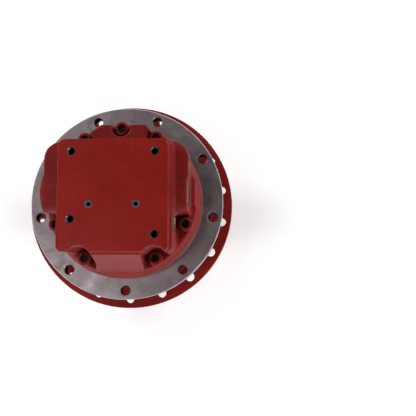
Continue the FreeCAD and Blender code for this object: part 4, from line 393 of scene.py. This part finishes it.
def shade_holes(material, count, circle_r, hole_r, first_angle):
    """Darken the walls of a circle of threaded holes: a painted shadow inside them."""
    tree = material.node_tree
    shader = tree.nodes["Principled BSDF"]
    parts = add_node(tree, "SeparateXYZ", {"Vector": object_place(tree)})
    angle = add_node(tree, "Math", {0: parts.outputs["Y"], 1: parts.outputs["X"]}, operation="ARCTAN2")
    turned = add_node(tree, "Math", {0: angle.outputs[0], 1: first_angle}, operation="SUBTRACT")
    half = math.pi / count
    near = add_node(tree, "Math", {0: turned.outputs[0], 1: half, 2: -half}, operation="WRAP")
    away = add_node(tree, "SeparateXYZ", {"Vector": ring_place(tree)}).outputs["X"]
    cosine = add_node(tree, "Math", {0: near.outputs[0]}, operation="COSINE")
    sine = add_node(tree, "Math", {0: near.outputs[0]}, operation="SINE")
    along = add_node(tree, "Math", {0: away, 1: cosine.outputs[0]}, operation="MULTIPLY")
    across = add_node(tree, "Math", {0: away, 1: sine.outputs[0]}, operation="MULTIPLY")
    place = add_node(tree, "CombineXYZ", {"X": along.outputs[0], "Y": across.outputs[0]})
    from_hole = add_node(tree, "VectorMath", {0: place.outputs[0], 1: (circle_r, 0, 0)},
                         operation="DISTANCE")
    wall = between(tree, from_hole.outputs["Value"], hole_r + 0.0001, hole_r + 0.0005, 1.0, 0.0)
    under = shader.inputs["Base Color"].links[0].from_socket
    tree.links.new(blend_colours(tree, wall, under, (0.035, 0.028, 0.026)), shader.inputs["Base Color"])
    gloss = shader.inputs["Roughness"].links[0].from_socket
    dull = add_node(tree, "Mix", {0: wall, 2: gloss, 3: 0.6}, data_type="FLOAT")
    tree.links.new(dull.outputs[0], shader.inputs["Roughness"])
    print(material.name, "has", count, "dark hole walls")


FRAME_HOLES = {mount["name"]: mount for mount in frame["record"]["mounts"]}["frame_flange_bolts"]["dims"]
rust_and_rim_highlight(HOUSING_IRON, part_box("spindle_housing")[1][0])
paint_above(HOUSING_IRON, (0.2, 0.0095, 0.0075), 0.34)
shade_holes(HOUSING_IRON, FRAME_HOLES["count"], FRAME_HOLES["pcd_mm"] / 2 * MM,
            FRAME_HOLES["hole_r_mm"] * MM, math.radians(30))

# %% [markdown]
# ## Rubber and friction lining
# Toric rings and seals are black nitrile rubber: nearly matte, with a faint bloom. The brake
# discs carry a sintered lining, a dark brown crust with coarse grains that look paler.

# %% Rubber and lining
def grainy(name, colour, fleck, rough, scale, depth):
    """A matte, grainy finish such as rubber or brake lining."""
    material, tree, shader = start_material(name, colour, 0.0, rough)
    spots = between(tree, grain(tree, scale, 4), 0.45, 0.7, 0.0, 1.0)
    tree.links.new(blend_colours(tree, spots, colour, fleck), shader.inputs["Base Color"])
    tree.links.new(between(tree, grain(tree, scale / 8, 3), 0.3, 0.7, rough - 0.1, rough + 0.08),
                   shader.inputs["Roughness"])
    tree.links.new(relief(tree, grain(tree, scale * 1.5, 3), depth, 0.6), shader.inputs["Normal"])
    return material


RUBBER = grainy("nitrile_rubber", (0.012, 0.012, 0.013), (0.03, 0.03, 0.03), 0.55, 700, 0.0001)
LINING = grainy("friction_lining", (0.075, 0.045, 0.03), (0.2, 0.15, 0.09), 0.75, 900, 0.0002)
print("made", RUBBER.name, "and", LINING.name)

# %% [markdown]
# ## Finishes of the CAD pieces
# The record names a material slot for each CAD piece, so one table from slot to finish covers
# them all. Pieces that are replaced later keep this finish too, which costs nothing.

# %% Finish every CAD piece
FINISHES = {
    "red_enamel": RED_CAST, "bare_iron": FLANGE_IRON, "painted_screw": RED_SMOOTH,
    "black_screw": BLACK_STEEL, "bearing_steel": BEARING_STEEL, "gear_steel": GEAR_STEEL,
    "shaft_steel": SHAFT_STEEL, "spring_steel": SPRING_STEEL, "seal_iron": SEAL_IRON,
    "seal_rubber": RUBBER, "bronze": BRONZE, "friction_lining": LINING, "plug_steel": ZINC,
}
for piece in NODES.values():
    for place in piece.material_slots:
        slot_name = place.material.name.split(".")[0]
        place.material = FINISHES[slot_name]
NODES["spindle_housing"].material_slots[0].material = HOUSING_IRON
print("finished", len(NODES), "CAD pieces")

# %% [markdown]
# ## Helpers for modelling
# New pieces start from Blender's own primitives and are shaped with its edit tools. A turned
# tool, such as a drill with a countersink, is a disc that is extruded and scaled step by step
# along its axis. The same steps make the cutters and the solid pieces.

# %% Modelling helpers
MOUNTS = {mount["name"]: mount for mount in frame["record"]["mounts"]}


def only(piece):
    """Select one object and make it active."""
    bpy.ops.object.select_all(action="DESELECT")
    piece.select_set(True)
    bpy.context.view_layer.objects.active = piece


def join(name, parts):
    """Join objects into one with a name."""
    bpy.ops.object.select_all(action="DESELECT")
    for part in parts:
        part.select_set(True)
    bpy.context.view_layer.objects.active = parts[0]
    bpy.ops.object.join()
    parts[0].name = name
    return parts[0]


def apply_modifier(piece, kind, **settings):
    """Add a modifier, set it up and apply it."""
    only(piece)
    modifier = piece.modifiers.new(kind.lower(), kind)
    for key, value in settings.items():
        setattr(modifier, key, value)
    bpy.ops.object.modifier_apply(modifier=modifier.name)


def rest(piece, material, body, node=None):
    """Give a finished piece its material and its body."""
    only(piece)
    bpy.ops.object.transform_apply(location=True, rotation=True, scale=True)
    bpy.ops.object.mode_set(mode="EDIT")
    bpy.ops.mesh.select_all(action="SELECT")
    bpy.ops.mesh.normals_make_consistent(inside=False)
    bpy.ops.object.mode_set(mode="OBJECT")
    if material:
        piece.data.materials.clear()
        piece.data.materials.append(material)
    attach(piece, body)
    if node:
        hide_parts(node)
    print(piece.name, len(piece.data.polygons), "faces on", body)


def turned_solid(name, place, axis, profile, sides=48, material=None):
    """A closed solid from (radius, depth) steps along an axis, all in millimetres."""
    turn = Vector(axis).to_track_quat("Z", "Y").to_euler()
    radius, depth = profile[0]
    bpy.ops.object.select_all(action="DESELECT")
    bpy.ops.mesh.primitive_circle_add(vertices=sides, radius=radius * MM, fill_type="NGON")
    piece = bpy.context.object
    piece.name = name
    bpy.ops.object.mode_set(mode="EDIT")
    bpy.ops.mesh.select_all(action="SELECT")
    bpy.ops.transform.translate(value=(0, 0, depth * MM))
    for next_radius, next_depth in profile[1:]:
        bpy.ops.mesh.extrude_region_move(
            TRANSFORM_OT_translate={"value": (0, 0, (next_depth - depth) * MM)})
        scale = next_radius / radius
        bpy.ops.transform.resize(value=(scale, scale, 1), center_override=(0, 0, next_depth * MM))
        radius, depth = next_radius, next_depth
    bpy.ops.mesh.select_all(action="SELECT")
    bpy.ops.mesh.normals_make_consistent(inside=False)
    bpy.ops.object.mode_set(mode="OBJECT")
    piece.rotation_euler = turn
    piece.location = place
    only(piece)
    bpy.ops.object.transform_apply(location=True, rotation=True, scale=True)
    if material:
        piece.data.materials.append(material)
    return piece


def merged_copy(node_name, name):
    """A copy of a CAD piece with its corners joined, ready to be worked on."""
    copy = NODES[node_name].copy()
    copy.data = NODES[node_name].data.copy()
    copy.name = name
    copy.parent = None
    bpy.context.collection.objects.link(copy)
    only(copy)
    bpy.ops.mesh.customdata_custom_splitnormals_clear()
    bpy.ops.object.mode_set(mode="EDIT")
    bpy.ops.mesh.select_all(action="SELECT")
    bpy.ops.mesh.remove_doubles(threshold=0.000002)
    bpy.ops.object.mode_set(mode="OBJECT")
    return copy


print("mounts:", ", ".join(sorted(MOUNTS)))

# %% [markdown]
# ## The valve block as a casting
# The valve block is one sand casting, so every edge that no tool has touched is round and
# every inner corner has a fillet. The CAD block has sharp corners. Its copy is filled inside,
# closed at every drilled hole and turned into an even skin of small faces. Smoothing that skin
# rounds the edges as the mould does, and the drilled holes are cut afterwards, so that
# they keep their sharp mouths.

# %% Fill the copy of the valve block
def cutter(name, mount, steps, material=None, shift=(0, 0, 0)):
    """A turned solid at a mount, with its steps measured outwards from the mount's mouth."""
    found = MOUNTS[mount]
    return turned_solid(name, Vector(found["pos_m"]) + Vector(shift), found["axis"], steps,
                        material=material)


def threaded(radius, pitch, depth, low, high):
    """Steps of a threaded hole: a groove at each turn between two levels."""
    steps = []
    level = low
    while level + pitch <= high:
        steps += [(radius, level), (radius + depth, level + pitch / 2)]
        level += pitch
    return steps + [(radius, level)]


def top_drillings():
    """Mouths of the holes in the top pad: name of the mount, shift, radius, depth."""
    pair, gauges = MOUNTS["top_holes_upper"], MOUNTS["gauge_ports"]
    holes = [("top_hole_left", 0, "tapped"), ("top_hole_right", 0, "tapped")]
    for sign in (-0.5, 0.5):
        holes.append(("top_holes_upper", sign * pair["dims"]["spacing_x_mm"] * MM, "tapped"))
        holes.append(("gauge_ports", sign * gauges["dims"]["spacing_x_mm"] * MM, "gauge"))
    return holes


PAD_Z = MOUNTS["top_hole_left"]["pos_m"][2]
SPOOL_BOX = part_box("counterbalance_plugs")
SPEED_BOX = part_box("two_speed_plug")
BEARING_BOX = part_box("rear_shaft_bearing")
CORE_PLACE = (0, -0.0025, 0.0635)
CORE_SIZE = (0.122, 0.119, 0.085)
TOP_FILL = 6
TOP_FILL_DEPTH = 8
SIDE_FILL_DEPTH = 28
casting = merged_copy("valve_block", "valve_block_casting")
fills = []
bpy.ops.object.select_all(action="DESELECT")
bpy.ops.mesh.primitive_cube_add(size=1, location=CORE_PLACE)
core = bpy.context.object
core.scale = CORE_SIZE
fills.append(core)
for mount, shift, kind in top_drillings():
    face = (PAD_Z - MOUNTS[mount]["pos_m"][2]) / MM
    fills.append(cutter("fill", mount, [(TOP_FILL, -TOP_FILL_DEPTH), (TOP_FILL, face)],
                        shift=(shift, 0, 0)))
SPOT_DEPTH = 1.2
SPOT_R = 17
for mount, radius, flush in (("left_main_port", SPOT_R + 1, SPOT_DEPTH), ("left_drain_port", 9.5, 0),
                             ("right_main_port", SPOT_R + 1, SPOT_DEPTH), ("right_drain_port", 9.5, 0),
                             ("pilot_port", 6, 0)):
    fills.append(cutter("fill", mount, [(radius, -SIDE_FILL_DEPTH), (radius, flush)]))


def lying_bore(name, box, along, grow, material=None, steps=None):
    """A round bar along one axis round the pieces in a box."""
    low, high = box
    middle = (Vector(low) + Vector(high)) / 2
    across = (along + 1) % 3
    radius = (high[across] - low[across]) / 2 / MM + grow
    half = (high[along] - low[along]) / 2 / MM
    axis = [0, 0, 0]
    axis[along] = 1
    return turned_solid(name, middle, axis, steps or [(radius, -half), (radius, half)],
                        material=material)


fills.append(lying_bore("fill", SPOOL_BOX, 0, 1))
fills.append(lying_bore("fill", SPEED_BOX, 1, 1))
join("valve_block_casting", [casting] + fills)
print("filled copy has", len(casting.data.polygons), "faces")

# %% Round it like a casting
SKIN_VOXEL = 0.0011
ROUNDING_STEPS = 9
apply_modifier(casting, "REMESH", mode="VOXEL", voxel_size=SKIN_VOXEL)
apply_modifier(casting, "SMOOTH", factor=0.5, iterations=ROUNDING_STEPS)
print("skin has", len(casting.data.polygons), "faces")
apply_modifier(casting, "DECIMATE", ratio=0.45)
print("thinned to", len(casting.data.polygons), "faces")

# %% Drill it
TAPPED_R = 4.25
TAPPED_PITCH = 1.5
MAIN_PITCH = 1.8
SMALL_PITCH = 1.3
THREAD_DEPTH = 0.75
SMALL_THREAD_DEPTH = 0.5
MAIN_DRILL_R = 7
SPOOL_BORE_R = 11.3
SPEED_BORE_R = 6.8
BEARING_SEAT_R = 17
HOLE_METAL = bare_metal("drilled_iron", (0.24, 0.22, 0.22), 0.42, 0.6, turned_marks=False)
casting.data.materials.clear()
casting.data.materials.append(RED_CAST)
drills = []
for mount, shift, kind in top_drillings():
    place = (shift, 0, 0)
    if kind == "tapped":
        steps = [(0.1, -20)] + threaded(TAPPED_R, TAPPED_PITCH, THREAD_DEPTH, -18, -0.3)
        steps.append((TAPPED_R + 2.5, 2.2))
    else:
        radius = MOUNTS[mount]["dims"]["hole_r_mm"]
        steps = [(radius, -14), (radius, 0), (4.2, 0.01), (4.2, 1.4), (6.4, 4)]
    drills.append(cutter("drill", mount, steps, HOLE_METAL, place))
for mount in ("left_main_port", "right_main_port"):
    radius = MOUNTS[mount]["dims"]["r_mm"]
    steps = [(MAIN_DRILL_R, -50), (MAIN_DRILL_R, -22.8)]
    steps += threaded(radius, MAIN_PITCH, THREAD_DEPTH, -22.7, -1)
    steps += [(radius + 1.6, 0.2), (SPOT_R, 0.21), (SPOT_R, 4)]
    drills.append(cutter("drill", mount, steps, HOLE_METAL))
for mount in ("left_drain_port", "right_drain_port", "pilot_port"):
    radius = MOUNTS[mount]["dims"]["r_mm"]
    length = MOUNTS[mount]["dims"]["length_mm"]
    steps = [(0.1, -length - 3)] + threaded(radius, SMALL_PITCH, SMALL_THREAD_DEPTH, -length, -0.5)
    drills.append(cutter("drill", mount, steps + [(radius + 3.5, 3)], HOLE_METAL))
apply_boolean = dict(operation="DIFFERENCE", solver="EXACT", material_mode="TRANSFER")
bits = join("bits", drills)
apply_modifier(casting, "BOOLEAN", object=bits, **apply_boolean)
bpy.data.objects.remove(bits)
inner = [lying_bore("bore", SPOOL_BOX, 0, 0.1, HOLE_METAL, [(SPOOL_BORE_R, -70), (SPOOL_BORE_R, 70)]),
         lying_bore("bore", SPEED_BOX, 1, 0.1, HOLE_METAL, [(SPEED_BORE_R, -52), (SPEED_BORE_R, 9)]),
         turned_solid("bore", (0, 0, BEARING_BOX[0][2]), (0, 0, 1),
                      [(BEARING_SEAT_R, -2), (BEARING_SEAT_R, 15)], material=HOLE_METAL)]
bores = join("bores", inner)
apply_modifier(casting, "BOOLEAN", object=bores, **apply_boolean)
bpy.data.objects.remove(bores)
only(casting)
bpy.ops.object.shade_smooth_by_angle(angle=math.radians(38))
rest(casting, None, "spindle", "valve_block")

# %% [markdown]
# ## Socket screws
# Seven socket screws hold the valve block and twelve hold the cover. They were painted with
# the drive, but spray doesn't reach the bottom of a hexagon socket, so the sockets look
# black, and they are darkened further as a painted shadow. Each set is a copy of the CAD
# screws: the edges of the heads are broken with a small bevel, and the faces in and below
# each socket get a finish of their own.

# %% Sockets and head edges
# Partly bare black steel and partly a painted shadow: darker than the black oxide of the cover screws.
SOCKET_STEEL_AND_SHADOW = bare_metal("socket_shadow", (0.012, 0.011, 0.011), 0.5, 0.2, turned_marks=False,
                          metal=0.2)


def islands(mesh):
    """Groups of corners that hang together, one for each screw."""
    work = bmesh.new()
    work.from_mesh(mesh)
    work.verts.ensure_lookup_table()
    seen = set()
    groups = []
    for start in work.verts:
        if start.index in seen:
            continue
        group, waiting = [], [start]
        seen.add(start.index)
        while waiting:
            corner = waiting.pop()
            group.append(corner.index)
            for edge in corner.link_edges:
                other = edge.other_vert(corner)
                if other.index not in seen:
                    seen.add(other.index)
                    waiting.append(other)
        groups.append(group)
    work.free()
    return groups


def dress_screws(node, name, body, head_up, finish):
    """Break the edges of a set of screws and darken their sockets."""
    screws = merged_copy(node, name)
    screws.data.materials.clear()
    screws.data.materials.append(finish)
    screws.data.materials.append(SOCKET_STEEL_AND_SHADOW)
    owner = {}
    centres = []
    for group in islands(screws.data):
        points = [screws.data.vertices[k].co for k in group]
        middle = [(min(p[k] for p in points) + max(p[k] for p in points)) / 2 for k in (0, 1)]
        top = max(p.z for p in points) if head_up else min(p.z for p in points)
        reach = max(p.z for p in points) - min(p.z for p in points)
        head_r = (max(p.x for p in points) - min(p.x for p in points)) / 2
        for k in group:
            owner[k] = len(centres)
        centres.append((middle[0], middle[1], top, head_r, reach))
    for face in screws.data.polygons:
        x, y, top, head_r, reach = centres[owner[face.vertices[0]]]
        away = math.hypot(face.center.x - x, face.center.y - y)
        under = abs(face.center.z - top)
        inward = (face.normal.x * (x - face.center.x) + face.normal.y * (y - face.center.y)) > 0
        if away < head_r * 0.62 and under > 0.0003 and (inward or under < reach * 0.5):
            face.material_index = 1
    apply_modifier(screws, "BEVEL", width=0.0004, segments=1, limit_method="ANGLE",
                   angle_limit=math.radians(40), material=-1)
    only(screws)
    bpy.ops.object.shade_smooth_by_angle(angle=math.radians(38))
    rest(screws, None, body, node)
    print(name, "has", len(centres), "screws")


dress_screws("valve_block_screws", "valve_block_screws_dressed", "spindle", True,
             RED_SMOOTH)
dress_screws("cover_screws", "cover_screws_dressed", "hub", False, BLACK_STEEL)

# %% [markdown]
# ## Broken edges
# A drawing has sharp corners, but no machinist leaves one: every edge gets a small chamfer, and
# it is that thin bright line which tells the eye that a part is metal. Each hard piece is copied,
# its flat faces are joined again, and a bevel of a few tenths of a millimetre breaks every edge
# that is sharper than 50 degrees. The large castings get a wider one. Springs stay as they
# are, because they are squeezed when the drive moves, and rubber rings have no sharp edges.

# %% Break the edges
CAST_EDGE = 0.0008
CUT_EDGE = 0.0003
CASTINGS = ("hub_casing", "hub_cover", "spindle_housing")
KEPT_AS_DRAWN = ("brake_disc_springs", "counterbalance_springs", "two_speed_spring", "casing_o_ring",
                 "cover_o_ring", "fixed_toric_ring", "rotating_toric_ring", "planet_1_clips",
                 "planet_2_clips", "valve_block", "valve_block_screws", "cover_screws")
BODY_OF = {node: body for body, nodes in frame["record"]["behaviour"]["bodies"].items()
           for node in nodes}


def break_edges(node, width):
    """Replace a CAD piece by a copy whose sharp edges are broken."""
    piece = merged_copy(node, node + "_finished")
    bpy.ops.object.mode_set(mode="EDIT")
    bpy.ops.mesh.select_all(action="SELECT")
    bpy.ops.mesh.dissolve_limited(angle_limit=math.radians(1))
    bpy.ops.object.mode_set(mode="OBJECT")
    apply_modifier(piece, "BEVEL", width=width, segments=1, limit_method="ANGLE",
                   angle_limit=math.radians(50))
    bpy.ops.object.shade_smooth_by_angle(angle=math.radians(32))
    rest(piece, None, BODY_OF[node], node)


hard_pieces = [node for node in sorted(NODES) if node not in KEPT_AS_DRAWN]
for node in hard_pieces:
    break_edges(node, CAST_EDGE if node in CASTINGS else CUT_EDGE)
print("broke the edges of", len(hard_pieces), "pieces")
